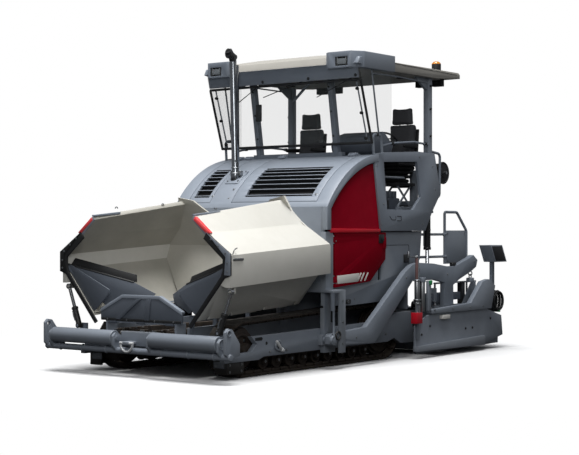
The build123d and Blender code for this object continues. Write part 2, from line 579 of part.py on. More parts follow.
# ---------------------------------------------------------------- operator's platform
FRAME_TOP = 2610
with BuildPart() as platform:
    add(box((-1230, -64), (-SIDE_FRAME_Y[0], SIDE_FRAME_Y[0]), (DECK_Z - 30, DECK_Z)))
    add(box((-1560, -1230), (-DECK_REAR_HALF, DECK_REAR_HALF), (DECK_Z - 30, DECK_Z)))
    add(box((-1560, -62), (40 - DECK_REAR_HALF, DECK_REAR_HALF - 40), (TRIM_Z + 6, TRIM_Z + 30)))
    add(box((-1130, -1100), (40 - DECK_REAR_HALF, DECK_REAR_HALF - 40), (TRIM_Z + 6, DECK_Z)))
    for side in (-1, 1):
        inner, outer = sorted((side * SIDE_FRAME_Y[0], side * SIDE_FRAME_Y[1]))
        add(side_slab([(-93, TRIM_Z + 8), (54, 2470), (54, 2560), (-189, 2590), (-960, FRAME_TOP + 20), (-1345, FRAME_TOP + 10),
                       (-1500, 2110), (-1285, 1860), (-1120, TRIM_Z + 8)], inner, outer))
        add(side_slab([(-150, 2470), (-225, 1885), (-820, 1885), (-1010, 2050), (-920, 2500)], inner - 5, outer + 5),
            mode=Mode.SUBTRACT)
    # rear rail, and the pins of the lift cylinders
    add(box((-1400, -1370), (-DECK_REAR_HALF, DECK_REAR_HALF), (DECK_Z - 5, 2010)))
    for side in (-1, 1):
        add(box((-1400, -1370), sorted((side * DECK_REAR_HALF, side * SIDE_FRAME_Y[0])), (1950, 2010)))
        add(rod((LIFT_X, side * (LIFT_Y - 40), LIFT_TOP_Z), (LIFT_X, side * (SIDE_FRAME_Y[0] + 5), LIFT_TOP_Z), 18))
    add(hood_shell.part, mode=Mode.SUBTRACT)
write(platform.part, "platform")

SEAT_X, SEAT_Y = -1080, 745
with BuildPart() as seat_base:
    add(box((SEAT_X - 190, SEAT_X + 190), (SEAT_Y - 180, SEAT_Y + 180), (DECK_Z, DECK_Z + 50)))
    for post_x in (-130, 130):
        add(box((SEAT_X + post_x - 25, SEAT_X + post_x + 25), (SEAT_Y - 150, SEAT_Y + 150), (DECK_Z + 50, 2200)))
    add(box((SEAT_X - 200, SEAT_X + 200), (SEAT_Y - 190, SEAT_Y + 190), (2200, 2240)))
    for fold in range(4):
        fold_z = 2240 + fold * 55
        add(box((SEAT_X - 185, SEAT_X + 185), (SEAT_Y - 180, SEAT_Y + 180), (fold_z, fold_z + 38)))
        add(box((SEAT_X - 150, SEAT_X + 150), (SEAT_Y - 145, SEAT_Y + 145), (fold_z + 30, fold_z + 60)))
    add(box((SEAT_X - 220, SEAT_X + 215), (SEAT_Y - 215, SEAT_Y + 215), (2460, 2495)))
write(both(seat_base.part), "seat_bases")

with BuildPart() as seat:
    add(side_slab([(SEAT_X + 260, 2495.3), (SEAT_X + 275, 2600), (SEAT_X - 110, 2590), (SEAT_X - 150, 2960),
                   (SEAT_X - 160, 3240), (SEAT_X - 245, 3240), (SEAT_X - 280, 2960), (SEAT_X - 235, 2495.3)],
                  SEAT_Y - 235, SEAT_Y + 235))
    for side in (-1, 1):
        add(box((SEAT_X - 400, SEAT_X - 100), sorted((SEAT_Y + side * 130, SEAT_Y + side * 300)), (3030, 3300)),
            mode=Mode.SUBTRACT)
    fillet(seat.edges().filter_by(Axis.Y), 18)
write_pair(seat.part, "seat")

with BuildPart() as console:
    add(side_slab([(-300, DECK_Z), (-300, 2560), (-420, 2560), (-420, DECK_Z)], 600, 850))
    add(side_slab([(-150, 2600), (-120, 2690), (-170, 2800), (-420, 2870), (-640, 2700), (-560, 2560), (-300, 2540)],
                  400, 1020))
write(console.part, "console")

# ---------------------------------------------------------------- roof, posts and glass
with BuildPart() as canopy_posts:
    for side in (-1, 1):
        add(box((POST_REAR_X - 40, POST_REAR_X + 40), sorted((side * (POST_REAR_Y - 42), side * (POST_REAR_Y + 42))),
                (2030, ROOF_LOW_Z)))
        inner, outer = sorted((side * (POST_FRONT_Y - 32), side * (POST_FRONT_Y + 32)))
        add(side_slab([(-20, 2562), (60, 2562), (230, ROOF_LOW_Z), (150, ROOF_LOW_Z)], inner, outer))
        add(rod((-65, side * (BODY_HALF + 40), 2806), (94, side * (BODY_HALF + 40), ROOF_LOW_Z), 11))
        add(box((60, 130), sorted((side * BODY_HALF, side * (BODY_HALF + 80))), (CORNER_LOW_Z, ROOF_LOW_Z + 40)),
            mode=Mode.SUBTRACT)
    add(box((-20, 60), (-700, 700), (2500, 2600)))
    add(hood_fill(), mode=Mode.SUBTRACT)
    add(hood_shell.part, mode=Mode.SUBTRACT)
write(canopy_posts.part, "canopy_posts")

# grab loops and rails on the side frames, and the bent rails behind the rear posts
RAIL_Y, RAIL_R = sum(SIDE_FRAME_Y) / 2, 17
with BuildPart() as handrails:
    for side in (-1, 1):
        add(pipe_route([(46, side * RAIL_Y, 2540), (68, side * RAIL_Y, 2800), (-108, side * RAIL_Y, 2800),
                        (-140, side * RAIL_Y, 2560)], 50, RAIL_R))
        add(pipe_route([(-126, side * RAIL_Y, 2665), (-373, side * RAIL_Y, 2712), (-900, side * (RAIL_Y - 15), 2752),
                        (POST_REAR_X, side * (POST_REAR_Y + 20), 2738)], 120, RAIL_R - 3))
        add(pipe_route([(-1402, side * POST_REAR_Y, 1982), (-1600, side * POST_REAR_Y, 2080),
                        (-1612, side * POST_REAR_Y, 2630), (POST_REAR_X, side * POST_REAR_Y, 2660)], 60, RAIL_R))
    for neighbour in (platform, canopy_posts, hood_shell):
        add(neighbour.part, mode=Mode.SUBTRACT)
write(handrails.part, "handrails")

with BuildPart() as canopy_roof:
    add(side_slab([(ROOF_FRONT_X, 3640), (ROOF_FRONT_X - 50, 3735), (200, ROOF_TOP_Z), (-900, ROOF_TOP_Z + 15),
                   (ROOF_REAR_X + 120, 3775), (ROOF_REAR_X, 3690), (ROOF_REAR_X, 3640), (-1400, ROOF_LOW_Z),
                   (200, ROOF_LOW_Z)], -ROOF_HALF, ROOF_HALF))
    with BuildSketch(Plane.YZ.offset(ROOF_REAR_X - 10)):
        with BuildLine():
            Line((-ROOF_HALF, 3400), (ROOF_HALF, 3400))
            Line((ROOF_HALF, 3400), (ROOF_HALF, 3715))
            ThreePointArc((ROOF_HALF, 3715), (0, 3815), (-ROOF_HALF, 3715))
            Line((-ROOF_HALF, 3715), (-ROOF_HALF, 3400))
        make_face()
    extrude(amount=2600, mode=Mode.INTERSECT)
    # fascia under the front edge
    add(side_slab([(ROOF_FRONT_X - 20, 3650), (ROOF_FRONT_X - 60, 3470), (ROOF_FRONT_X - 90, 3470),
                   (ROOF_FRONT_X - 60, 3650)], -ROOF_HALF + 40, ROOF_HALF - 40))
    for side in (-1, 1):
        # lamp housing wrapped round each front corner, with its recess
        with BuildSketch(Plane.XY.offset(CORNER_LOW_Z)):
            with BuildLine():
                Polyline([(x, side * y) for x, y in
                          ((ROOF_FRONT_X - 60, 740), (ROOF_FRONT_X - 10, 740), (ROOF_FRONT_X + 30, 800),
                           (ROOF_FRONT_X + 28, ROOF_HALF - 90), (ROOF_FRONT_X - 120, ROOF_HALF + 15),
                           (ROOF_FRONT_X - 797, ROOF_HALF + 15), (ROOF_FRONT_X - 797, ROOF_HALF - 90),
                           (ROOF_FRONT_X - 177, ROOF_HALF - 90))], close=True)
            make_face()
        extrude(amount=198)
        add(box((ROOF_FRONT_X + 12, ROOF_FRONT_X + 60), sorted((side * 900, side * 1080)), (3615, 3725)),
            mode=Mode.SUBTRACT)
        # lamps under the rear edge
        for lamp_y in (side * 700, side * 950):
            add(box((-1860, -1770), (lamp_y - 75, lamp_y + 75), (3545, 3650)))
write(canopy_roof.part, "canopy_roof")

GLASS_T = 12
with BuildPart() as canopy_glass:
    add(side_slab([(352, 3460), (100, 2690), (100 + GLASS_T, 2686), (352 + GLASS_T, 3456)], 21 - ROOF_HALF, ROOF_HALF - 21))
    for side in (-1, 1):
        inner, outer = sorted((side * (ROOF_HALF - 21), side * (ROOF_HALF - 21 + GLASS_T)))
        add(side_slab([(200, ROOF_LOW_Z), (394 + GLASS_T, 3633), (110 + GLASS_T, 2720), (-300, 2740),
                       (-300, ROOF_LOW_Z)], inner, outer))
    add(canopy_roof.part, mode=Mode.SUBTRACT)
write(canopy_glass.part, "canopy_glass")

with BuildPart() as beacon:
    with BuildSketch(Plane.XY.offset(3725)):
        with Locations((-1700, 1000)):
            Circle(62)
    extrude(amount=140)
    chamfer(beacon.edges().group_by(Axis.Z)[-1], 28)
    add(canopy_roof.part, mode=Mode.SUBTRACT)
write(beacon.part, "beacon")

REEL_X, REEL_Y, REEL_Z = -1765, 960, 2385
FLANGE_R = 150
with BuildPart() as hose_reel:
    add(rod((REEL_X, REEL_Y - 110, REEL_Z), (REEL_X, REEL_Y + 110, REEL_Z), 70, 20.3))
    for flange_y in (-110, 98):
        add(rod((REEL_X, REEL_Y + flange_y, REEL_Z), (REEL_X, REEL_Y + flange_y + 12, REEL_Z), FLANGE_R, 20.3))
    add(rod((REEL_X, REEL_Y - 96, REEL_Z), (REEL_X, REEL_Y + 96, REEL_Z), FLANGE_R - 20, 60))
write(hose_reel.part, "hose_reel")
with BuildPart() as reel_bracket:
    add(rod((REEL_X, REEL_Y - 170, REEL_Z), (REEL_X, REEL_Y + 108, REEL_Z), 20))
    add(box((REEL_X - 30, -1470), (REEL_Y - 170, REEL_Y - 145), (REEL_Z - 30, REEL_Z + 30)))
    add(box((-1500, -1370), (REEL_Y - 170, REEL_Y - 120), (2010, REEL_Z + 30)))
write(reel_bracket.part, "reel_bracket")

# boarding guard behind the left of the tractor: bent rail, sheet plate and two braces to the rear wall
GUARD_Y, GUARD_X, GUARD_Z = 950, (-2573, -1995), (1170, 1868)
GUARD_TUBE_R, GUARD_PLATE_TOP = 19, 1620
with BuildPart() as rear_guard:
    add(pipe_route([(GUARD_X[1], GUARD_Y, GUARD_Z[0]), (GUARD_X[1], GUARD_Y, GUARD_Z[1]), (-2315, GUARD_Y, GUARD_Z[1]),
                    (GUARD_X[0], GUARD_Y, GUARD_PLATE_TOP), (GUARD_X[0], GUARD_Y, GUARD_Z[0])], 60, GUARD_TUBE_R))
    add(box(GUARD_X, (GUARD_Y - 6, GUARD_Y + 6), (GUARD_Z[0], GUARD_PLATE_TOP)))
    for brace_z in (GUARD_Z[0] + 100, GUARD_PLATE_TOP - 52):
        add(rod((GUARD_X[1], GUARD_Y, brace_z), (REAR_WALL_X, GUARD_Y, brace_z), GUARD_TUBE_R - 2))
write(rear_guard.part, "rear_guard")

# ---------------------------------------------------------------- tow arms, screed and augers
with BuildPart() as tow_column:
    # guide column of the tow point: inner plate, outer plate, head and lug
    add(box((COLUMN_X[0], 1045), sorted((BEAM_OUTER_Y, BODY_HALF + PLATE)), (195, 715)))
    add(box((COLUMN_X[0], 1045), (BODY_HALF, BODY_HALF + PLATE), (715, COLUMN_TOP_Z)))
    add(box(COLUMN_X, (GATE_INNER_Y, GATE_OUTER_Y), (195, COLUMN_TOP_Z)))
    add(box((COLUMN_X[0], TOW_X + 28), (BODY_HALF, GATE_OUTER_Y), (COLUMN_TOP_Z - 30, COLUMN_TOP_Z)))
    add(box((1040, TOW_X + 45), sorted((BEAM_OUTER_Y, BODY_HALF + PLATE)), (TOW_Z - 60, TOW_Z + 60)))
    # tow pin, the levelling cylinder's eye, rod and barrel
    add(rod((TOW_X, BODY_HALF + 10, TOW_Z), (TOW_X, GATE_OUTER_Y, TOW_Z), 34))
    add(rod((TOW_X, ARM_OUTER_Y + 6, TOW_Z), (TOW_X, ARM_OUTER_Y + 36, TOW_Z), 55))
    add(rod((TOW_X, ARM_OUTER_Y + 21, TOW_Z), (TOW_X, ARM_OUTER_Y + 21, COLUMN_TOP_Z - 20), 13))
    add(rod((TOW_X, ARM_OUTER_Y + 8, 690), (TOW_X, ARM_OUTER_Y + 8, COLUMN_TOP_Z - 20), 28))
write(both(tow_column.part), "tow_columns")

with BuildPart() as tow_arm:
    with BuildSketch(side_plane(ARM_INNER_Y)):
        with BuildLine():
            Polyline((TOW_X + 20, 282), (160, 262), (-700, 985), (-1250, 985), (-1700, 905), (-1860, 975),
                     (-2159, 1069), (-2300, 1130), (-2337, 1220), (-2227, 1290), (-2120, 1250), (-1750, 1150),
                     (-1560, 1150), (-1205, 1195), (-830, 1213), (-700, 1190), (-540, 1110), (337, 462),
                     (TOW_X + 20, 420), (TOW_X + 52, 390), (TOW_X + 52, 305), close=True)
        make_face()
        with Locations((TOW_X, TOW_Z)):
            Circle(34.4, mode=Mode.SUBTRACT)
    extrude(amount=-(ARM_OUTER_Y - ARM_INNER_Y))
    # leg down to the screed, and the bridge that ties it to the screed's body
    add(side_slab([(-1480, 960), (-1480, 420), (-1700, 420), (-1700, 960)], ARM_INNER_Y, ARM_OUTER_Y))
    add(box((-1640, -1540), (1020, ARM_INNER_Y), (420, 560)))
    # eye of the lift cylinder on the inner face
    add(rod((LIFT_X, LIFT_Y - 40, LIFT_EYE_Z), (LIFT_X, ARM_INNER_Y, LIFT_EYE_Z), 16))
write(both(tow_arm.part), "tow_arms")

GUIDE_Z, GUIDE_R = 470, 42
GEAR_Y = ARM_INNER_Y - 42   # middle of the gear inside each tow arm
GUIDE_X = (-2040, -2480)
with BuildPart() as screed_main:
    add(side_slab([(SCREED_FRONT_X, SCREED_LOW_Z + 20), (SCREED_FRONT_X + 20, 300), (SCREED_FRONT_X, 420),
                   (SCREED_REAR_X, 420), (SCREED_REAR_X, SCREED_LOW_Z), (SCREED_FRONT_X - 60, SCREED_LOW_Z)],
                  -SCREED_HALF, SCREED_HALF))
    add(box((SCREED_REAR_X, SCREED_FRONT_X - 120), (-1020, 1020), (415, 560)))
    add(box((GUIDE_X[1] - 70, SCREED_REAR_X + 10), (-24, 24), (380, 560)))
    for guide_x in GUIDE_X:
        add(rod((guide_x, 10 - SCREED_HALF, GUIDE_Z), (guide_x, SCREED_HALF - 10, GUIDE_Z), GUIDE_R))
    # heating and levelling gear on each end: rail, casing, valve box, posts and the cross tube over them
    for side in (-1, 1):
        gear_y = side * GEAR_Y
        add(box((-2440, -1400), (gear_y - 32, gear_y + 32), (600, 640)))
        add(box((-2040, -1240), (gear_y - 20, gear_y + 20), (700, 800)))
        add(box((-2135, -2055), (gear_y - 36, gear_y + 36), (600, 930)))
        for post_x, post_low in ((-1420, 415), (-1597, 560), (-1679, 415), (-1850, 415), (-2240, 620), (-2380, 620)):
            add(rod((post_x, gear_y, post_low), (post_x, gear_y, 930), 14))
        add(rod((-1400, gear_y, 930), (-2480, gear_y, 930), 12))
write(screed_main.part, "screed_main")

for side, ext_name in ((1, "screed_extension_left"), (-1, "screed_extension_right")):
    with BuildPart() as extension:
        low, high = sorted((side * 32, side * ARM_OUTER_Y))
        add(side_slab([(EXT_FRONT_X, SCREED_LOW_Z), (EXT_FRONT_X, 400), (-2560, 400), (EXT_REAR_X, 360),
                       (EXT_REAR_X, SCREED_LOW_Z + 10)], low, high))
        # inner plate riding on the guide tubes
        inner, outer = sorted((side * 32, side * 72))
        add(side_slab([(EXT_FRONT_X, 380), (EXT_FRONT_X, 545), (-2560, 545), (-2600, 380)], inner, outer))
        for guide_x in GUIDE_X:
            add(rod((guide_x, low - 5, GUIDE_Z), (guide_x, high + 5, GUIDE_Z), GUIDE_R + 0.5), mode=Mode.SUBTRACT)
        # walkway step at the rear
        low, high = sorted((side * 32, side * 1000))
        add(box((-HALF_LENGTH, EXT_REAR_X + 5), (low, high), (400, 435)))
        for y in (side * 120, side * 900):
            add(side_slab([(EXT_REAR_X + 60, 250), (-HALF_LENGTH + 60, 402), (EXT_REAR_X + 60, 402)], y - 12, y + 12))
        # end gate
        gate = sorted((side * GATE_INNER_Y, side * GATE_OUTER_Y))
        add(side_slab([(-700, 95), (-700, 410), (-1019, 545), (-2400, 585), (-2570, 540), (-2930, 447), (-2967, 179),
                       (-2400, 75), (-740, 60)], *gate))
        channel = sorted((side * GATE_INNER_Y, side * (GATE_OUTER_Y + 45)))
        add(side_slab([(-1019, 560), (-1019, 609), (-2020, 655), (-2328, 930), (-2502, 958), (-2679, 865),
                       (-2570, 560)], *channel))
        add(side_slab([(-690, 95), (-690, 160), (-2400, 200), (-2400, 75)], *channel))
        bridge = sorted((side * SCREED_HALF, side * GATE_INNER_Y))
        add(side_slab([(EXT_FRONT_X - 20, 80), (EXT_FRONT_X - 20, 390), (-2850, 330), (-2850, 80)], *bridge))
    write(extension.part, ext_name)

    with BuildPart() as stand:
        # crank spindle of the end gate with its clamp
        y = side * (GATE_OUTER_Y + 52)
        add(rod((-660, y, 455), (-660, y, 1290), 16))
        add(rod((-660, y, 700), (-660, y, 1010), 34))
        add(box((-735, -600), sorted((side * GATE_OUTER_Y, side * (GATE_OUTER_Y + 85))), (455, 590)))
        add(box((-760, -700), sorted((side * GATE_OUTER_Y, side * (GATE_OUTER_Y + 30))), (250, 480)))
        # upright and tilted control box
        y = side * (GATE_OUTER_Y + 22)
        add(box((-2660, -2590), (y - 20, y + 20), (860, 1220)))
        add(side_slab([(-2430, 1420), (-2750, 1420), (-2880, 1190), (-2560, 1190)], y - 90, y + 90))
        add(extension.part, mode=Mode.SUBTRACT)
    write(stand.part, "control_stand_left" if side > 0 else "control_stand_right")

# lift cylinders between the platform and the tow arms
LIFT_LENGTH = LIFT_TOP_Z - LIFT_EYE_Z
with BuildPart() as lift_barrel:
    add(rod((LIFT_X, LIFT_Y, LIFT_TOP_Z), (LIFT_X, LIFT_Y, LIFT_TOP_Z - 590), 44))
    add(rod((LIFT_X, LIFT_Y, LIFT_TOP_Z - 60), (LIFT_X, LIFT_Y, LIFT_TOP_Z - 600), 26), mode=Mode.SUBTRACT)
    add(rod((LIFT_X, LIFT_Y - 28, LIFT_TOP_Z), (LIFT_X, LIFT_Y + 28, LIFT_TOP_Z), 46))
    add(rod((LIFT_X, LIFT_Y - 50, LIFT_TOP_Z), (LIFT_X, LIFT_Y + 50, LIFT_TOP_Z), 18.4), mode=Mode.SUBTRACT)
write(both(lift_barrel.part), "lift_barrels")
with BuildPart() as lift_rod:
    add(rod((LIFT_X, LIFT_Y, LIFT_TOP_Z - 540), (LIFT_X, LIFT_Y, LIFT_EYE_Z), 25))
    add(rod((LIFT_X, LIFT_Y - 26, LIFT_EYE_Z), (LIFT_X, LIFT_Y + 26, LIFT_EYE_Z), 38))
    add(rod((LIFT_X, LIFT_Y - 50, LIFT_EYE_Z), (LIFT_X, LIFT_Y + 50, LIFT_EYE_Z), 22), mode=Mode.SUBTRACT)
write(both(lift_rod.part), "lift_rods")

# augers on one shaft line either side of the middle gear case
AUGER_IN_Y, AUGER_OUT_Y = 130, 1000
STUB_R = 40                 # shaft stub that takes an auger extension
SHAFT_R = 48
FLIGHT_PITCH, FLIGHT_T = 290, 8
with BuildPart() as auger_case:
    add(side_slab([(-1030, 1240), (-930, 560), (-1010, 330), (-1110, 280), (-1190, 330), (-1190, 480), (-1090, 1240)],
                  -70, 70))
    add(rod((AUGER_X, -112, AUGER_Z), (AUGER_X, 112, AUGER_Z), 90))
    add(rod((AUGER_X, -320, AUGER_Z), (AUGER_X, 320, AUGER_Z), 30))
    add(box((-1110, FRAME_REAR_X), (-300, 300), (900, FRAME_TOP_Z)))
write(auger_case.part, "auger_case")

flight_middle_r = (AUGER_R + SHAFT_R) / 2
with BuildPart() as auger:
    # cast flight wound three turns round the shaft
    with BuildLine() as screw:
        Helix(pitch=FLIGHT_PITCH, height=3 * FLIGHT_PITCH - 60, radius=flight_middle_r,
              center=(AUGER_X, AUGER_IN_Y + 20, AUGER_Z), direction=(0, 1, 0))
    flight_start = screw.wire() @ 0
    outwards = flight_start - Vector(AUGER_X, flight_start.Y, AUGER_Z)
    with BuildSketch(Plane(origin=flight_start, x_dir=outwards, z_dir=screw.wire() % 0)):
        Rectangle(AUGER_R - SHAFT_R + 6, FLIGHT_T)
    sweep(path=screw.wire(), is_frenet=True)
    add(rod((AUGER_X, AUGER_IN_Y, AUGER_Z), (AUGER_X, AUGER_OUT_Y, AUGER_Z), SHAFT_R))
    add(rod((AUGER_X, AUGER_OUT_Y, AUGER_Z), (AUGER_X, AUGER_OUT_Y + 70, AUGER_Z), STUB_R))
    add(rod((AUGER_X, AUGER_IN_Y - 10, AUGER_Z), (AUGER_X, 325, AUGER_Z), 30.3), mode=Mode.SUBTRACT)
write_pair(auger.part, "auger")
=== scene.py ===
"""Looks of a tracked asphalt paver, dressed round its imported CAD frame.

Every size is in metres, in the frame's own axes: +X forward, +Y to the machine's left, +Z up.
"""

import json
import logging
import math
from dataclasses import dataclass, field
from enum import Enum
from typing import Iterable, Sequence

import bmesh
import bpy
from mathutils import Matrix, Vector


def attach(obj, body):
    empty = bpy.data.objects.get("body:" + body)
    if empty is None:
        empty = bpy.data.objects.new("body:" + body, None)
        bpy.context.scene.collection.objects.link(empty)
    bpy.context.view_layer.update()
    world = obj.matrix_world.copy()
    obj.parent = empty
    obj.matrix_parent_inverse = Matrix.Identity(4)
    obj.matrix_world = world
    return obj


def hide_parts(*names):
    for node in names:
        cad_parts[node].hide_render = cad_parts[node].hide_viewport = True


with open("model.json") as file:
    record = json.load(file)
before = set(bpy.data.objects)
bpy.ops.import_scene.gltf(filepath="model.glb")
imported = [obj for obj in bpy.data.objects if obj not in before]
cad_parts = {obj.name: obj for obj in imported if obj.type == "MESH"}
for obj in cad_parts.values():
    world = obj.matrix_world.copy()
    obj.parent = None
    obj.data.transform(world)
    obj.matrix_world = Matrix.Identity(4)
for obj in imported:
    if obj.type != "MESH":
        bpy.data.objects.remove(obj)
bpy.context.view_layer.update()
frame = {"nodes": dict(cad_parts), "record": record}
LOG = logging.getLogger("paver")
Point = Sequence[float]
SIDES = (("left", 1), ("right", -1))
ACROSS = (0, 1, 0)
FORWARD = (1, 0, 0)
MERGE_DISTANCE = 2e-5
FLAT_ANGLE = 1.0


# ---------------------------------------------------------------- finishes
def linear(hex_colour: str) -> tuple[float, float, float, float]:
    """Turn an sRGB hex colour into linear light.

    Args:
        hex_colour: colour written as #rrggbb.

    Returns:
        Red, green, blue and an alpha of one.
    """
    parts = [int(hex_colour[i : i + 2], 16) / 255 for i in (1, 3, 5)]
    light = [c / 12.92 if c <= 0.04045 else ((c + 0.055) / 1.055) ** 2.4 for c in parts]
    return (*light, 1.0)


def add_node(tree: bpy.types.NodeTree, kind: str, settings: dict | None = None,
             links: dict | None = None) -> bpy.types.Node:
    """Add one node with its settings and its incoming links.

    Args:
        tree: node tree of a material or world.
        kind: node type name.
        settings: socket defaults, or attributes of the node, by name or socket number.
        links: output sockets by the name or number of the input they feed.

    Returns:
        The new node.
    """
    node = tree.nodes.new(kind)
    for key, value in (settings or {}).items():
        if isinstance(key, int) or key in node.inputs:
            node.inputs[key].default_value = value
        else:
            setattr(node, key, value)
    for key, source in (links or {}).items():
        tree.links.new(source, node.inputs[key])
    return node


def noise(tree: bpy.types.NodeTree, where: bpy.types.NodeSocket, size_mm: float,
          **settings: float) -> bpy.types.NodeSocket:
    """Noise whose features are about this many millimetres wide."""
    settings["Scale"] = 1000.0 / size_mm
    return add_node(tree, "ShaderNodeTexNoise", settings, {"Vector": where}).outputs[0]


def ranged(tree: bpy.types.NodeTree, source: bpy.types.NodeSocket, reach: Point,
           result: Point) -> bpy.types.NodeSocket:
    """Map a value's reach on to a result range."""
    ends = {1: reach[0], 2: reach[1], 3: result[0], 4: result[1]}
    return add_node(tree, "ShaderNodeMapRange", ends, {0: source}).outputs[0]


def blended(tree: bpy.types.NodeTree, share: bpy.types.NodeSocket, colour: bpy.types.NodeSocket,
            second: str) -> bpy.types.NodeSocket:
    """Turn a colour towards a second one by a share."""
    settings = {"data_type": "RGBA", 7: linear(second)}
    return add_node(tree, "ShaderNodeMix", settings, {0: share, 6: colour}).outputs[2]


@dataclass(frozen=True)
class Finish:
    """A surface finish: its colour, gloss and the pattern that breaks it up."""

    name: str
    slot: str
    colour: str
    second: str
    roughness: float = 0.4
    metallic: float = 0.0
    coat: float = 0.0
    mottle_mm: float = 260.0
    mottle: float = 0.5
    grain_mm: float = 6.0
    grain_depth: float = 0.0
    dust: float = 0.0
    dust_top: float = 0.9
    dust_colour: str = "#6e675c"
    wear: float = 0.0
    wear_colour: str = "#a9adb0"
    specular: float = 0.5

    def material(self) -> bpy.types.Material:
        """Build the node material of this finish once and hand it out."""
        found = bpy.data.materials.get(self.name)
        if found:
            return found
        mat = bpy.data.materials.new(self.name)
        mat.use_nodes = True
        tree = mat.node_tree
        shader = tree.nodes["Principled BSDF"]
        where = add_node(tree, "ShaderNodeTexCoord").outputs["Object"]
        mottle = noise(tree, where, self.mottle_mm, Detail=6.0, Roughness=0.62)
        spread = ranged(tree, mottle, (0.38, 0.66), (0.0, self.mottle))
        paint = {"data_type": "RGBA", 6: linear(self.colour), 7: linear(self.second)}
        colour = add_node(tree, "ShaderNodeMix", paint, {0: spread}).outputs[2]
        if self.dust:
            height = add_node(tree, "ShaderNodeSeparateXYZ", links={0: where}).outputs[2]
            low = ranged(tree, height, (0.0, self.dust_top), (self.dust, 0.0))
            cloud = add_node(tree, "ShaderNodeMath", {"operation": "MULTIPLY"}, {0: low, 1: mottle})
            colour = blended(tree, cloud.outputs[0], colour, self.dust_colour)
        if self.wear:
            edge = add_node(tree, "ShaderNodeNewGeometry").outputs["Pointiness"]
            bare = ranged(tree, edge, (0.53, 0.6), (0.0, self.wear))
            colour = blended(tree, bare, colour, self.wear_colour)
        tree.links.new(colour, shader.inputs["Base Color"])
        gloss = (max(self.roughness - 0.05, 0.02), min(self.roughness + 0.08, 1.0))
        tree.links.new(ranged(tree, mottle, (0.3, 0.7), gloss), shader.inputs["Roughness"])
        shader.inputs["Metallic"].default_value = self.metallic
        shader.inputs["Coat Weight"].default_value = self.coat
        shader.inputs["Specular IOR Level"].default_value = self.specular
        if self.grain_depth:
            grain = noise(tree, where, self.grain_mm, Detail=3.0)
            depth = {"Strength": self.grain_depth, "Distance": 0.002}
            bump = add_node(tree, "ShaderNodeBump", depth, {"Height": grain})
            tree.links.new(bump.outputs[0], shader.inputs["Normal"])
        return mat


# Two-pack machine enamel over steel sheet: satin, faintly wavy, dusty near the ground.
ENAMEL_BLUE_GREY = Finish("enamel_blue_grey", "blue_grey_paint", "#7b838e", "#727a85", coat=0.05,
                          grain_depth=0.03, dust=0.28, wear=0.25)
# Lit copy of the same blue-grey enamel: painted highlight for the hood, lids, rims, caps and upward faces.
ENAMEL_BLUE_GREY_LIT = Finish("enamel_blue_grey_lit", "blue_grey_paint", "#8d95a0", "#848c97", 0.38, coat=0.05,
                           grain_depth=0.03)
ENAMEL_CREAM = Finish("enamel_cream", "cream_paint", "#d9d7cf", "#cfcdc4", 0.45, coat=0.05,
                      grain_depth=0.03, dust=0.2)
ENAMEL_RED = Finish("enamel_deep_red", "red_paint", "#86031a", "#7a0317", 0.5, grain_depth=0.02,
                    specular=0.04)
# Bright red: the clamp's own red, and a lit copy of the deep red on the panel tops, a painted highlight.
ENAMEL_BRIGHT_AND_LIT_RED = Finish("enamel_bright_and_lit_red", "red_paint", "#c4182a", "#b41322", 0.4, specular=0.3)
ENAMEL_CORAL = Finish("marker_coral", "red_paint", "#ee4a4d", "#e03c42", 0.4)
ENAMEL_BLACK = Finish("enamel_black", "black_steel", "#17181a", "#222426", 0.38, coat=0.1, dust=0.3)
# Shaded copy of the same blue-grey enamel: painted shade for the apron, the corner plates and the valve
# blocks under the console.
ENAMEL_BLUE_GREY_SHADED = Finish("enamel_blue_grey_shaded", "blue_grey_paint", "#555b64", "#4c525b", 0.45,
                          grain_depth=0.03, specular=0.35)
ENAMEL_WHITE = Finish("enamel_white", "cream_paint", "#dcdad4", "#d4d2cc", 0.4)
ENAMEL_STONE = Finish("enamel_stone", "cream_paint", "#a3a099", "#9b9891", 0.5, specular=0.2)
# Cast and forged track steel: brown-black with rust dust.
TRACK_STEEL = Finish(
    "cast_track_steel", "track_steel", "#231d1a", "#352b25", 0.66, metallic=0.35, mottle_mm=90, mottle=1.0,
    grain_mm=4, grain_depth=0.35, dust=0.3, wear=0.4, wear_colour="#5c5249",
)
# Rubber of pads, seals and lips: dull black, finely pitted.
TRACK_RUBBER = Finish("track_pad_rubber", "rubber", "#1d1b1a", "#2d2926", 0.8, mottle_mm=60, mottle=0.9,
                      grain_mm=3, grain_depth=0.3, dust=0.5)
BELT_RUBBER = Finish("moulded_rubber", "rubber", "#131415", "#1d1e20", 0.6, mottle_mm=80, grain_mm=3,
                     grain_depth=0.12)
# Hard chrome and polished stainless steel: mirror with fine streaks; zinc is paler and softer.
CHROME = Finish("hard_chrome", "chrome", "#d4d6d8", "#b9bcc0", 0.12, metallic=1.0, mottle_mm=60)
GALVANISED = Finish("hot_dip_galvanised", "chrome", "#d9dbdc", "#c4c6c8", 0.4, metallic=0.3, mottle_mm=30)
STACK_STEEL = Finish("polished_stack_steel", "chrome", "#8f9397", "#80848a", 0.14, metallic=1.0,
                     mottle_mm=60)
ZINC = Finish("zinc_plate", "chrome", "#a3a6a8", "#8d9093", 0.34, metallic=1.0, mottle_mm=25, grain_mm=2,
              grain_depth=0.08)
# Moulded polypropylene and ABS: matte with a fine leather grain.
PLASTIC_BLACK = Finish("moulded_black_plastic", "black_plastic", "#1a1b1d", "#222326", 0.55, grain_mm=3,
                       grain_depth=0.15)
PLASTIC_GREY = Finish("moulded_grey_plastic", "blue_grey_paint", "#626974", "#58606b", 0.5, grain_mm=3,
                      grain_depth=0.12)
# Red oxide primer gone dull on a screw, and a woven green tie.
OXIDE = Finish("red_oxide_primer", "red_paint", "#7d5e5c", "#6b4f4d", 0.6, mottle_mm=40)
GREEN_BAND = Finish("green_cable_band", "black_plastic", "#1f8a4a", "#1b7a40", 0.5)
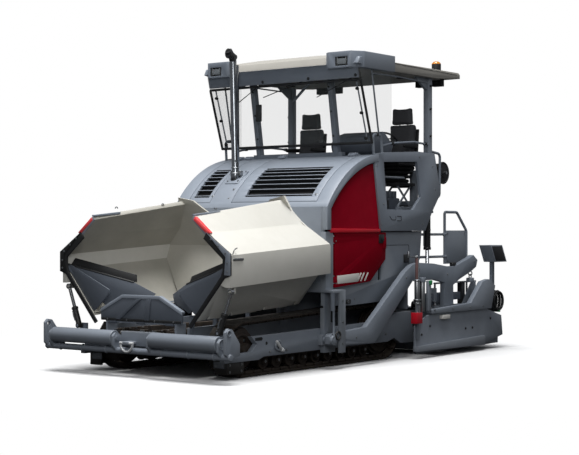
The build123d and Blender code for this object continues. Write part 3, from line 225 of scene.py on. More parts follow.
# Charcoal cloth with the thread of its weave.
SEAT_CLOTH = Finish("woven_seat_cloth", "seat_cloth", "#454649", "#535457", 0.85, mottle_mm=4.0, mottle=0.9,
                    grain_mm=2.5, grain_depth=0.35)
# Painted shade: near-black for the unlit engine bay, slots, recesses and gaps, also dark seams and the
# console screen.
DARK_INSIDE = Finish("dark_inside", "engine_iron", "#0e0f10", "#191a1c", 0.7, mottle_mm=120)
# Scuffed paint inside the hopper, rubbed grey by the load.
WARM_INSIDE = Finish("hopper_inside", "cream_paint", "#bab7ad", "#acaaa0", 0.55, mottle_mm=400, mottle=0.8,
                     grain_depth=0.05)


@dataclass(frozen=True)
class Clear(Finish):
    """Glass, lens or acrylic: a see-through shader with a tint."""

    alpha: float = 0.2
    transmission: float = 0.0

    def material(self) -> bpy.types.Material:
        """Build the clear material once and hand it out."""
        mat = super().material()
        shader = mat.node_tree.nodes["Principled BSDF"]
        shader.inputs["Alpha"].default_value = self.alpha
        shader.inputs["Transmission Weight"].default_value = self.transmission
        return mat


# Laminated glass shows as a faint smoky film with sharp reflections.
GLASS = Clear("laminated_glass", "glass", "#6d7474", "#666d6d", 0.03, alpha=0.1)
LAMP_GLASS = Clear("lamp_glass", "glass", "#8d9398", "#858b90", 0.08, alpha=0.6)
AMBER_LENS = Clear("amber_lens", "amber", "#f09a1e", "#e08812", 0.15, coat=0.5, alpha=0.9, transmission=0.3)


# ---------------------------------------------------------------- shapes
class Axis(Enum):
    """Direction in which a flat outline is thickened."""

    X = 0
    Y = 1

    def point(self, a: float, b: float, c: float) -> Vector:
        """Point from two outline values and the place along this axis."""
        return Vector((c, a, b) if self is Axis.X else (a, c, b))


def edges_of(verts: Iterable[bmesh.types.BMVert]) -> list[bmesh.types.BMEdge]:
    """Edges that meet these vertices, each one once."""
    return list({edge for vert in verts for edge in vert.link_edges})


@dataclass
class Shape:
    """A piece under construction: one bmesh, its finishes and the CAD nodes it stands for."""

    name: str
    body: str
    finishes: tuple[Finish, ...]
    nodes: tuple[str, ...] = ()
    mesh: bmesh.types.BMesh = field(default_factory=bmesh.new)

    def _settle(self, faces: Iterable, finish: Finish | None) -> None:
        """Give new faces their finish number."""
        number = self.finishes.index(finish) if finish else 0
        for face in faces:
            face.material_index = number

    def _bevel(self, edges: list, width: float) -> None:
        """Round these edges."""
        if width:
            bmesh.ops.bevel(
                self.mesh, geom=edges, offset=width, offset_type="OFFSET", segments=2, profile=0.5,
                affect="EDGES", material=-1, clamp_overlap=True,
            )

    def _new_faces(self, before: set) -> list:
        """Faces that weren't there before."""
        return [face for face in self.mesh.faces if face not in before]

    def block(self, low: Point, high: Point, bevel: float = 0.003, finish: Finish | None = None,
              turn: Matrix | None = None) -> None:
        """Add a bevelled block between two corners.

        Args:
            low: one corner.
            high: the opposite corner.
            bevel: width of the rounded edges.
            finish: finish of its faces, the first one if left out.
            turn: turn applied about the block's middle.
        """
        before = set(self.mesh.faces)
        low_corner, high_corner = Vector(low), Vector(high)
        size = Vector([abs(h - l) for l, h in zip(low_corner, high_corner)])
        place = Matrix.Translation((low_corner + high_corner) / 2) @ (turn or Matrix()).to_4x4()
        made = bmesh.ops.create_cube(self.mesh, size=1.0, matrix=place @ Matrix.Diagonal((*size, 1)))
        self._bevel(edges_of(made["verts"]), min(bevel, min(size) * 0.4))
        self._settle(self._new_faces(before), finish)

    def rod(self, start: Point, end: Point, radius: float, tip: float | None = None, segments: int = 20,
            bevel: float = 0.0, finish: Finish | None = None) -> None:
        """Add a round bar or cone between two points.

        Args:
            start: middle of the first end.
            end: middle of the second end.
            radius: radius at the start.
            tip: radius at the end, the same if left out.
            segments: sides of the bar.
            bevel: width of the rounded rims.
            finish: finish of its faces.
        """
        before = set(self.mesh.faces)
        first, last = Vector(start), Vector(end)
        run = last - first
        place = Matrix.Translation((first + last) / 2) @ run.to_track_quat("Z", "Y").to_matrix().to_4x4()
        made = bmesh.ops.create_cone(
            self.mesh, cap_ends=True, segments=segments, radius1=radius,
            radius2=radius if tip is None else tip, depth=run.length, matrix=place,
        )
        if bevel:
            rims = [e for e in edges_of(made["verts"]) if any(len(f.verts) > 4 for f in e.link_faces)]
            self._bevel(rims, bevel)
        self._settle(self._new_faces(before), finish)

    def plate(self, outline: Sequence[Point], axis: Axis, low: float, high: float, bevel: float = 0.002,
              finish: Finish | None = None) -> None:
        """Add a flat piece: an outline across one axis, thickened along it.

        Args:
            outline: corner points in the two other directions.
            axis: direction of the thickness.
            low: where it starts along the axis.
            high: where it ends.
            bevel: width of the rounded edges.
            finish: finish of its faces.
        """
        before = set(self.mesh.faces)
        corners = [self.mesh.verts.new(axis.point(a, b, low)) for a, b in outline]
        face = self.mesh.faces.new(corners)
        lifted = bmesh.ops.extrude_face_region(self.mesh, geom=[face])["geom"]
        moved = [v for v in lifted if isinstance(v, bmesh.types.BMVert)]
        bmesh.ops.translate(self.mesh, verts=moved, vec=axis.point(0, 0, high - low))
        made = self._new_faces(before)
        bmesh.ops.recalc_face_normals(self.mesh, faces=made)
        self._bevel(list({e for f in made for e in f.edges}), bevel)
        self._settle(self._new_faces(before), finish)

    def ring(self, centre: Point, axis: Point, radius: float, thickness: float,
             finish: Finish | None = None, arc: float = math.tau, start: Point | None = None,
             segments: int = 36, sides: int = 10) -> None:
        """Add a round ring, or part of one, by spinning a small circle.

        Args:
            centre: middle of the ring.
            axis: direction the ring turns about.
            radius: from the middle to the wire's centre line.
            thickness: radius of the wire.
            finish: finish of its faces.
            arc: how far the circle is spun, in radians.
            start: direction from the middle to where the spin starts.
            segments: steps of the spin.
            sides: sides of the wire.
        """
        before = set(self.mesh.faces)
        spin_axis = Vector(axis).normalized()
        out = Vector(start).normalized() if start else spin_axis.orthogonal().normalized()
        frame_of_wire = Matrix((out, spin_axis, out.cross(spin_axis))).transposed().to_4x4()
        place = Matrix.Translation(Vector(centre) + out * radius) @ frame_of_wire
        wire = bmesh.ops.create_circle(self.mesh, cap_ends=False, segments=sides, radius=thickness,
                                       matrix=place)
        whole = abs(arc - math.tau) < 1e-6
        bmesh.ops.spin(
            self.mesh, geom=edges_of(wire["verts"]) + wire["verts"],
            cent=centre, axis=spin_axis, angle=arc, steps=segments, use_merge=whole,
        )
        made = self._new_faces(before)
        if not whole:
            open_edges = [e for f in made for e in f.edges if e.is_boundary]
            bmesh.ops.holes_fill(self.mesh, edges=list(set(open_edges)), sides=0)
            made = self._new_faces(before)
        bmesh.ops.recalc_face_normals(self.mesh, faces=made)
        self._settle(made, finish)

    def pipe(self, points: Sequence[Point], radius: float, bend: float = 0.05, finish: Finish | None = None,
             sides: int = 3) -> None:
        """Add a bent pipe along straight runs with rounded corners.

        Args:
            points: ends and corners of the route.
            radius: outer radius.
            bend: how far before each corner the bend starts.
            finish: finish of its faces.
            sides: bevel resolution of the round section.
        """
        route = [Vector(points[0])]
        for before_corner, corner, after_corner in zip(points, points[1:], points[2:]):
            for other in (before_corner, after_corner):
                towards = Vector(other) - Vector(corner)
                step = Vector(corner) + towards.normalized() * min(bend, towards.length * 0.45)
                if other is before_corner:
                    route.extend((step, Vector(corner)))
                else:
                    route.append(step)
        route.append(Vector(points[-1]))
        curve = bpy.data.curves.new(self.name + "_route", "CURVE")
        curve.dimensions = "3D"
        curve.bevel_depth = radius
        curve.bevel_resolution = sides
        curve.use_fill_caps = True
        spline = curve.splines.new("NURBS")
        spline.points.add(len(route) - 1)
        for knot, place in zip(spline.points, route):
            knot.co = (*place, 1)
        spline.order_u = 3
        spline.use_endpoint_u = True
        spline.resolution_u = 3
        holder = bpy.data.objects.new(curve.name, curve)
        bpy.context.scene.collection.objects.link(holder)
        skin = bpy.data.meshes.new_from_object(holder)
        before = set(self.mesh.faces)
        self.mesh.from_mesh(skin)
        bpy.data.objects.remove(holder)
        bpy.data.meshes.remove(skin)
        made = self._new_faces(before)
        bmesh.ops.recalc_face_normals(self.mesh, faces=made)
        self._settle(made, finish)

    def bolt(self, place: Point, outwards: Point, radius: float, finish: Finish = ZINC) -> None:
        """Add a hexagon bolt head on its washer, standing outwards from a surface."""
        base, out = Vector(place), Vector(outwards).normalized()
        self.rod(base - out * 0.002, base + out * 0.003, radius * 1.5, segments=14, finish=finish)
        self.rod(base, base + out * radius * 0.9, radius, radius * 0.92, segments=6, finish=finish)

    def side_bolts(self, side: int, y: float, spots: Iterable[Point], radius: float,
                   finish: Finish = ZINC) -> None:
        """Add bolts at (x, z) spots of the wall this far out on one side."""
        for x, z in spots:
            self.bolt((x, side * y, z), (0, side, 0), radius, finish)

    def bolt_circle(self, side: int, centre: Point, circle: float, count: int, radius: float,
                    start: float = 0.0) -> None:
        """Add a circle of bolts to a face that looks away from the middle, from its left-hand centre."""
        turns = [start + number * math.tau / count for number in range(count)]
        spots = [(centre[0] + circle * math.cos(a), centre[2] + circle * math.sin(a)) for a in turns]
        self.side_bolts(side, centre[1], spots, radius)

    def finish(self, smooth: float = 35.0) -> bpy.types.Object:
        """Turn the shape into an object that rides on its body.

        Args:
            smooth: edges flatter than this many degrees are shaded smooth.

        Returns:
            The new object.
        """
        data = bpy.data.meshes.new(self.name)
        for face in self.mesh.faces:
            face.smooth = True
        self.mesh.to_mesh(data)
        self.mesh.free()
        data.set_sharp_from_angle(angle=math.radians(smooth))
        for finish in self.finishes:
            data.materials.append(finish.material())
        piece = bpy.data.objects.new(self.name, data)
        bpy.context.scene.collection.objects.link(piece)
        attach(piece, self.body)
        if self.nodes:
            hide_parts(*self.nodes)
        LOG.info("%s: %d faces on %s", self.name, len(data.polygons), self.body)
        return piece

    def take_node(self, node: str, bevel: float = 0.004, sharp: float = 28.0) -> None:
        """Start from a CAD node's own mesh: merged, with its flat faces joined and its edges rounded.

        Args:
            node: name of the CAD node.
            bevel: width of the rounded edges.
            sharp: edges that fold by more than this many degrees are rounded.
        """
        self.mesh.from_mesh(frame["nodes"][node].data)
        bmesh.ops.remove_doubles(self.mesh, verts=self.mesh.verts, dist=MERGE_DISTANCE)
        bmesh.ops.dissolve_limit(
            self.mesh, angle_limit=math.radians(FLAT_ANGLE), verts=self.mesh.verts, edges=self.mesh.edges,
            use_dissolve_boundaries=False, delimit={"NORMAL"},
        )
        limit = math.radians(sharp)
        folded = [e for e in self.mesh.edges if len(e.link_faces) == 2 and e.calc_face_angle(0) > limit]
        self._bevel(folded, bevel)
        self._settle(self.mesh.faces, None)

    def repaint(self, finish: Finish, low: Point, high: Point, facing: Point | None = None,
                least: float = 0.5) -> None:
        """Give another finish to the faces whose middle lies in a box, and that face a direction."""
        number = self.finishes.index(finish)
        way = Vector(facing).normalized() if facing else None
        for face in self.mesh.faces:
            middle = face.calc_center_median()
            inside = all(l <= m <= h for l, m, h in zip(low, middle, high))
            if inside and (way is None or face.normal.dot(way) > least):
                face.material_index = number


def mirrored(outline: Iterable[Point], side: int) -> list[tuple[float, float]]:
    """The (y, z) points of the left side, or their mirror images on the right."""
    return [(y * side, z) for y, z in outline]


def span(side: int, near: float, far: float) -> tuple[float, float]:
    """Reach along Y between two distances from the middle, on one side, with the lower end first."""
    low, high = sorted((side * near, side * far))
    return low, high


def dress(node: str, finish: Finish) -> None:
    """Give a CAD node one finish as it stands."""
    slots = frame["nodes"][node].data.materials
    slots.clear()
    slots.append(finish.material())


def body_of_node(node: str) -> str:
    """Name of the body that carries a CAD node."""
    bodies = frame["record"]["behaviour"]["bodies"]
    return next(body for body, nodes in bodies.items() if node in nodes)


def softened(node: str, finishes: tuple[Finish, ...], bevel: float = 0.004, sharp: float = 28.0) -> Shape:
    """A shape that starts as a CAD node with rounded edges, ready for details."""
    shape = Shape(f"{node}_dressed", body_of_node(node), finishes, (node,))
    shape.take_node(node, bevel, sharp)
    return shape


# ---------------------------------------------------------------- studio
@dataclass
class Studio:
    """Pale floor, soft lamps and the camera."""

    camera_at: Point = (14.515, 10.867, 1.66)
    camera_along: Point = (-0.7963, -0.6049, 0.0)
    lens_mm: float = 88.33
    floor_size: float = 60.0
    shade_reach: float = 3.2
    white_reach: float = 6.0

    def build(self) -> None:
        """Set up camera, world, lamps and floor."""
        scene = bpy.context.scene
        scene.view_settings.view_transform = "Standard"
        camera_data = bpy.data.cameras.new("camera")
        camera_data.lens, camera_data.sensor_width = self.lens_mm, 36.0
        camera_data.clip_end = 200.0
        camera = bpy.data.objects.new("camera", camera_data)
        camera.location = self.camera_at
        camera.rotation_euler = Vector(self.camera_along).to_track_quat("-Z", "Y").to_euler()
        scene.collection.objects.link(camera)
        scene.camera = camera
        self._world(scene)
        self._lamp("top", (3.0, 1.2, 20.0), (0.2, 0.0, 1.0), 14.0, 5700)
        self._lamp("front", (11.0, 8.0, 6.0), (0.5, 0.0, 1.5), 5.0, 340)
        self._floor()

    def _world(self, scene: bpy.types.Scene) -> None:
        """White behind the object, and a level grey for lighting it."""
        world = bpy.data.worlds.new("studio")
        world.use_nodes = True
        scene.world = world
        tree = world.node_tree
        tree.nodes.clear()
        path = add_node(tree, "ShaderNodeLightPath")
        seen = add_node(
            tree, "ShaderNodeMath", {"operation": "MAXIMUM"},
            {0: path.outputs["Is Camera Ray"], 1: path.outputs["Is Transmission Ray"]}
        )
        light = add_node(tree, "ShaderNodeBackground", {"Color": (0.92, 0.95, 1.0, 1.0), "Strength": 0.25})
        white = add_node(tree, "ShaderNodeBackground", {"Color": (1.0, 1.0, 1.0, 1.0), "Strength": 1.0})
        mix = add_node(tree, "ShaderNodeMixShader",
                       links={0: seen.outputs[0], 1: light.outputs[0], 2: white.outputs[0]})
        add_node(tree, "ShaderNodeOutputWorld", links={0: mix.outputs[0]})

    def _lamp(self, name: str, place: Point, towards: Point, size: float, watts: float) -> None:
        """Add one soft area lamp."""
        data = bpy.data.lights.new(name, "AREA")
        data.shape, data.size, data.energy = "DISK", size, watts
        lamp = bpy.data.objects.new(name, data)
        lamp.location = place
        lamp.rotation_euler = (Vector(towards) - Vector(place)).to_track_quat("-Z", "Y").to_euler()
        bpy.context.scene.collection.objects.link(lamp)

    def _floor(self) -> None:
        """Pale floor that keeps the shadow, turns white further away and throws little light back up."""
        shape = bmesh.new()
        bmesh.ops.create_grid(shape, x_segments=1, y_segments=1, size=self.floor_size / 2)
        data = bpy.data.meshes.new("floor")
        shape.to_mesh(data)
        shape.free()
        mat = bpy.data.materials.new("studio_floor")
        mat.use_nodes = True
        tree = mat.node_tree
        tree.nodes.clear()
        where = add_node(tree, "ShaderNodeTexCoord").outputs["Object"]
        away = add_node(tree, "ShaderNodeVectorMath", {"operation": "LENGTH"}, {0: where}).outputs["Value"]
        far = add_node(
            tree, "ShaderNodeMapRange",
            {"interpolation_type": "SMOOTHSTEP", 1: self.shade_reach, 2: self.white_reach}, {0: away},
        )
        path = add_node(tree, "ShaderNodeLightPath")
        seen = add_node(tree, "ShaderNodeMath", {"operation": "MULTIPLY"},
                        {0: path.outputs["Is Camera Ray"], 1: far.outputs[0]})
        tone = add_node(tree, "ShaderNodeMix",
                        {"data_type": "RGBA", 6: linear("#3a3a3a"), 7: linear("#ececec")},
                        {0: path.outputs["Is Camera Ray"]})
        pale = add_node(tree, "ShaderNodeBsdfDiffuse", links={"Color": tone.outputs[2]})
        white = add_node(tree, "ShaderNodeEmission", {"Color": (1.0, 1.0, 1.0, 1.0), "Strength": 1.0})
        mix = add_node(tree, "ShaderNodeMixShader",
                       links={0: seen.outputs[0], 1: pale.outputs[0], 2: white.outputs[0]})
        add_node(tree, "ShaderNodeOutputMaterial", links={0: mix.outputs[0]})
        data.materials.append(mat)
        floor = bpy.data.objects.new("floor", data)
        bpy.context.scene.collection.objects.link(floor)


# ---------------------------------------------------------------- carrier and tracks
@dataclass
class Carrier:
    """Side beams, skirts, lower rollers, idlers and sprockets."""

    beam_outer: float = 1.088
    skirt_outer: float = 1.041
    skirt_bolts: tuple[Point, ...] = ((2.45, 0.09), (2.45, 0.165), (2.65, 0.09), (2.65, 0.165))
    beam_bolts: tuple[Point, ...] = ((2.0, 0.27), (1.7, 0.27), (0.55, 0.27), (0.1, 0.27), (-0.35, 0.33))
    roller_start: float = -0.06
    roller_step: float = 0.25
    roller_count: int = 9
    roller_radius: float = 0.088
    roller_z: float = 0.1524
    wheels: tuple[Point, ...] = ((2.32, 0.314, 0.2496), (-0.44, 0.364, 0.2996))

    def build(self) -> None:
        """Make the carrier's pieces."""
        dress("main_frame", ENAMEL_BLUE_GREY)
        self._beams()
        self._running_gear()

    def _beams(self) -> None:
        """Side beams with their slot, hole, tow eye and bolts, and the front skirts."""
        beams = softened("side_beams", (ENAMEL_BLUE_GREY, DARK_INSIDE, ZINC, GALVANISED))
        skirts = softened("front_skirts", (ENAMEL_BLACK, ZINC, ENAMEL_BLUE_GREY))
        for _, side in SIDES:
            face = side * self.beam_outer
            # slot and hole drawn as plates in painted shade
            for x, z, length in ((2.2, 0.425, 0.05), (2.06, 0.37, 0.0)):
                low, high = sorted((face - side * 0.004, face + side * 0.002))
                beams.plate([(x + length + 0.02, z - 0.016), (x + length + 0.02, z + 0.016),
                             (x - length, z + 0.02), (x - length - 0.016, z), (x - length, z - 0.018)],
                            Axis.Y, low, high, 0, DARK_INSIDE)
            # welded-on tow eye with its bright pin
            beams.ring((1.87, face + side * 0.016, 0.335), (0, side, 0), 0.05, 0.015, ENAMEL_BLUE_GREY)
            beams.rod((1.83, face + side * 0.03, 0.29), (1.92, face + side * 0.03, 0.385), 0.017,
                      bevel=0.003, finish=GALVANISED)
            beams.rod((1.80, face + side * 0.03, 0.27), (1.83, face + side * 0.03, 0.29), 0.024,
                      bevel=0.004, finish=GALVANISED)
            beams.side_bolts(side, self.beam_outer, self.beam_bolts, 0.011)
            skirts.side_bolts(side, self.skirt_outer, self.skirt_bolts, 0.01)
            for y in (0.89, 0.985):
                skirts.bolt((2.693, side * y, 0.155), FORWARD, 0.01)
            skirts.block((2.69, side * 0.85, 0.13), (2.697, side * 1.0, 0.20), 0.001, ENAMEL_BLUE_GREY)
        beams.finish()
        skirts.finish()

    def _running_gear(self) -> None:
        """Roller frame, flanged rollers, and the idlers and sprockets with their bolts."""
        gear = Shape("running_gear", "tractor", (TRACK_STEEL, ZINC, ENAMEL_BLUE_GREY), ("undercarriage",))
        for _, side in SIDES:
            for number in range(self.roller_count):
                middle = self.roller_start + number * self.roller_step
                z, r = self.roller_z, self.roller_radius
                inner, outer = side * 0.75, side * 0.945
                gear.rod((middle, inner, z), (middle, outer, z), r * 0.86, segments=24, bevel=0.004)
                for y in (inner, outer - side * 0.03):
                    gear.rod((middle, y, z), (middle, y + side * 0.03, z), r, segments=24, bevel=0.005)
                gear.rod((middle, outer, z), (middle, outer + side * 0.028, z), 0.038, 0.03, segments=16,
                         bevel=0.003)
                gear.bolt((middle, outer + side * 0.028, z), (0, side, 0), 0.011)
            for centre_x, centre_z, radius in self.wheels:
                rim_in, rim_out = side * 0.76, side * 0.93
                gear.rod((centre_x, rim_in, centre_z), (centre_x, rim_out, centre_z), radius * 0.9,
                         segments=40, bevel=0.006)
                for y in (side * 0.80, side * 0.87):
                    gear.rod((centre_x, y, centre_z), (centre_x, y + side * 0.025, centre_z), radius,
                             segments=40, bevel=0.004)
                gear.rod((centre_x, side * 0.60, centre_z), (centre_x, side * 1.02, centre_z), 0.07,
                         segments=24, bevel=0.006)
                gear.ring((centre_x, side * 0.93, centre_z), ACROSS, radius * 0.62, 0.02)
                gear.bolt_circle(side, (centre_x, 0.93, centre_z), radius * 0.42, 6, 0.014)
            gear.block((-0.33, side * 0.60, 0.25), (2.44, side * 0.73, 0.40), 0.008)
            gear.block((-0.095, side * 0.72, 0.192), (1.99, side * 0.96, 0.39), 0.012)
        gear.finish()


@dataclass
class Tracks:
    """Steel chain loops with bolted rubber pads round idler and sprocket."""

    idler: Point = (2.32, 0.314)
    idler_radius: float = 0.25
    sprocket: Point = (-0.44, 0.364)
    sprocket_radius: float = 0.3
    inner_y: float = 0.69
    outer_y: float = 0.99
    belt: float = 0.038
    pad_height: float = 0.026
    pad_count: int = 46

    def _loop(self) -> list[tuple[Vector, Vector]]:
        """Places of the pads round the loop, each with the direction along the track."""
        front, rear = Vector(self.idler), Vector(self.sprocket)
        grow = self.sprocket_radius - self.idler_radius
        run = (front - rear).length
        lean = math.atan2(rear.y - front.y, front.x - rear.x)
        turn = lean + math.atan2(grow, run)
        r_front, r_rear = self.idler_radius + self.belt, self.sprocket_radius + self.belt
        top_front = front + Vector((math.sin(turn), math.cos(turn))) * r_front
        top_rear = rear + Vector((math.sin(turn), math.cos(turn))) * r_rear
        top_run, low_run = (top_front - top_rear).length, front.x - rear.x
        front_arc, rear_arc = r_front * (math.pi - turn), r_rear * (math.pi + turn)
        total = top_run + front_arc + low_run + rear_arc
        places = []
        for number in range(self.pad_count):
            away = (number + 0.5) * total / self.pad_count
            if away < top_run:
                along = (top_front - top_rear).normalized()
                places.append((top_rear + along * away, along))
            elif away < top_run + front_arc:
                angle = math.pi / 2 - turn - (away - top_run) / r_front
                places.append((front + Vector((math.cos(angle), math.sin(angle))) * r_front,
                               Vector((math.sin(angle), -math.cos(angle)))))
            elif away < top_run + front_arc + low_run:
                gone = away - top_run - front_arc
                places.append((Vector((front.x - gone, front.y - r_front)), Vector((-1.0, 0.0))))
            else:
                angle = -math.pi / 2 - (away - top_run - front_arc - low_run) / r_rear
                places.append((rear + Vector((math.cos(angle), math.sin(angle))) * r_rear,
                               Vector((math.sin(angle), -math.cos(angle)))))
        return places

    def build(self) -> None:
        """Make both tracks, each pad with its shoe, links and pin."""
        places = self._loop()
        pitch = (places[1][0] - places[0][0]).length
        for name, side in SIDES:
            track = Shape(f"track_{name}_chain", "tractor", (TRACK_STEEL, TRACK_RUBBER, ZINC),
                          (f"track_{name}",))
            y_low, y_high = span(side, self.inner_y, self.outer_y)
            middle = (y_low + y_high) / 2
            for spot, along in places:
                turn = Matrix.Rotation(-math.atan2(along.y, along.x), 3, "Y")
                out = Vector((-along.y, 0, along.x))
                at = Vector((spot.x, middle, spot.y))
                half = Vector((pitch * 0.46, (y_high - y_low) / 2, 0.006))
                shoe = at + out * 0.004
                track.block(shoe - half, shoe + half, 0.002, TRACK_STEEL, turn)
                pad = at + out * (self.pad_height - 0.012)
                size = Vector((pitch * 0.4, (y_high - y_low) / 2 - 0.008, 0.0115))
                track.block(pad - size, pad + size, 0.004, TRACK_RUBBER, turn)
                for link_y in (-0.058, 0.058):
                    link = at - out * 0.02 + Vector((0, link_y, 0))
                    size = Vector((pitch * 0.56, 0.014, 0.016))
                    track.block(link - size, link + size, 0.002, TRACK_STEEL, turn)
                pin = at - out * 0.022 + Vector((along.x, 0, along.y)) * pitch / 2
                track.rod(pin - Vector((0, 0.09, 0)), pin + Vector((0, 0.09, 0)), 0.012, segments=8,
                          finish=TRACK_STEEL)
            track.finish()


# ---------------------------------------------------------------- push beam and conveyor
@dataclass
class PushGear:
    """Swinging beam with its two rollers, tow ring and lower tube."""

    roller_x: float = 3.064
    roller_z: float = 0.428
    roller_radius: float = 0.085
    tube_x: float = 3.044
    tube_z: float = 0.292

    def build(self) -> None:
        """Make beam and rollers."""
        beam = softened("push_beam", (ENAMEL_BLUE_GREY, ZINC, GALVANISED))
        for _, side in SIDES:
            for y in (side * 0.262, side * 1.265):
                beam.ring((self.roller_x, y + side * 0.014, self.roller_z), ACROSS, 0.052, 0.008)
                beam.bolt_circle(side, (self.roller_x, side * y + 0.014, self.roller_z), 0.036, 4, 0.006,
                                 math.pi / 4)
            beam.ring((self.roller_x, side * 1.376, 0.548), ACROSS, 0.031, 0.008)
            for y in (0.42, 0.80, 1.16):
                beam.ring((self.tube_x, side * y, self.tube_z), ACROSS, 0.037, 0.007)
            beam.rod((self.tube_x, side * 1.372, self.tube_z), (self.tube_x, side * 1.392, self.tube_z),
                     0.042, 0.034, bevel=0.004)
        # forged tow ring hanging in its clamp on the middle of the beam
        beam.block((2.985, -0.125, 0.36), (3.112, -0.02, 0.40), 0.01)
        beam.ring((3.095, -0.072, 0.375), (-1, 0, 0), 0.09, 0.014, GALVANISED, math.pi, ACROSS)
        beam.rod((3.095, -0.174, 0.38), (3.095, 0.03, 0.38), 0.016, bevel=0.003, finish=GALVANISED)
        beam.finish()
        for name, side in SIDES:
            roller = softened(f"push_roller_{name}", (ENAMEL_BLUE_GREY, ZINC), 0.006)
            for y in (side * 0.283, side * 1.228):
                roller.ring((self.roller_x, y + side * 0.006, self.roller_z), ACROSS,
                            self.roller_radius - 0.009, 0.009)
            roller.finish()


@dataclass
class Conveyor:
    """Slat bars on roller chains over the floor of the tunnel."""

    start_x: float = -0.82
    pitch: float = 0.215
    count: int = 34

    def build(self) -> None:
        """Make the conveyor's chains and front rollers over the wear floor."""
        floor = softened("conveyor", (TRACK_STEEL, ZINC, ENAMEL_BLACK), 0.003)
        for y in (-0.5, -0.09, 0.09, 0.5):
            for number in range(self.count):
                x = self.start_x + number * self.pitch / 2
                floor.block((x, y - 0.02, 0.486), (x + 0.08, y + 0.02, 0.512), 0.003, TRACK_STEEL)
                floor.rod((x + 0.094, y - 0.028, 0.499), (x + 0.094, y + 0.028, 0.499), 0.012, segments=10,
                          finish=ZINC)
        for y in (-0.42, 0.0, 0.42):
            floor.ring((2.79, y, 0.43), ACROSS, 0.05, 0.014, ENAMEL_BLACK)
        floor.finish()


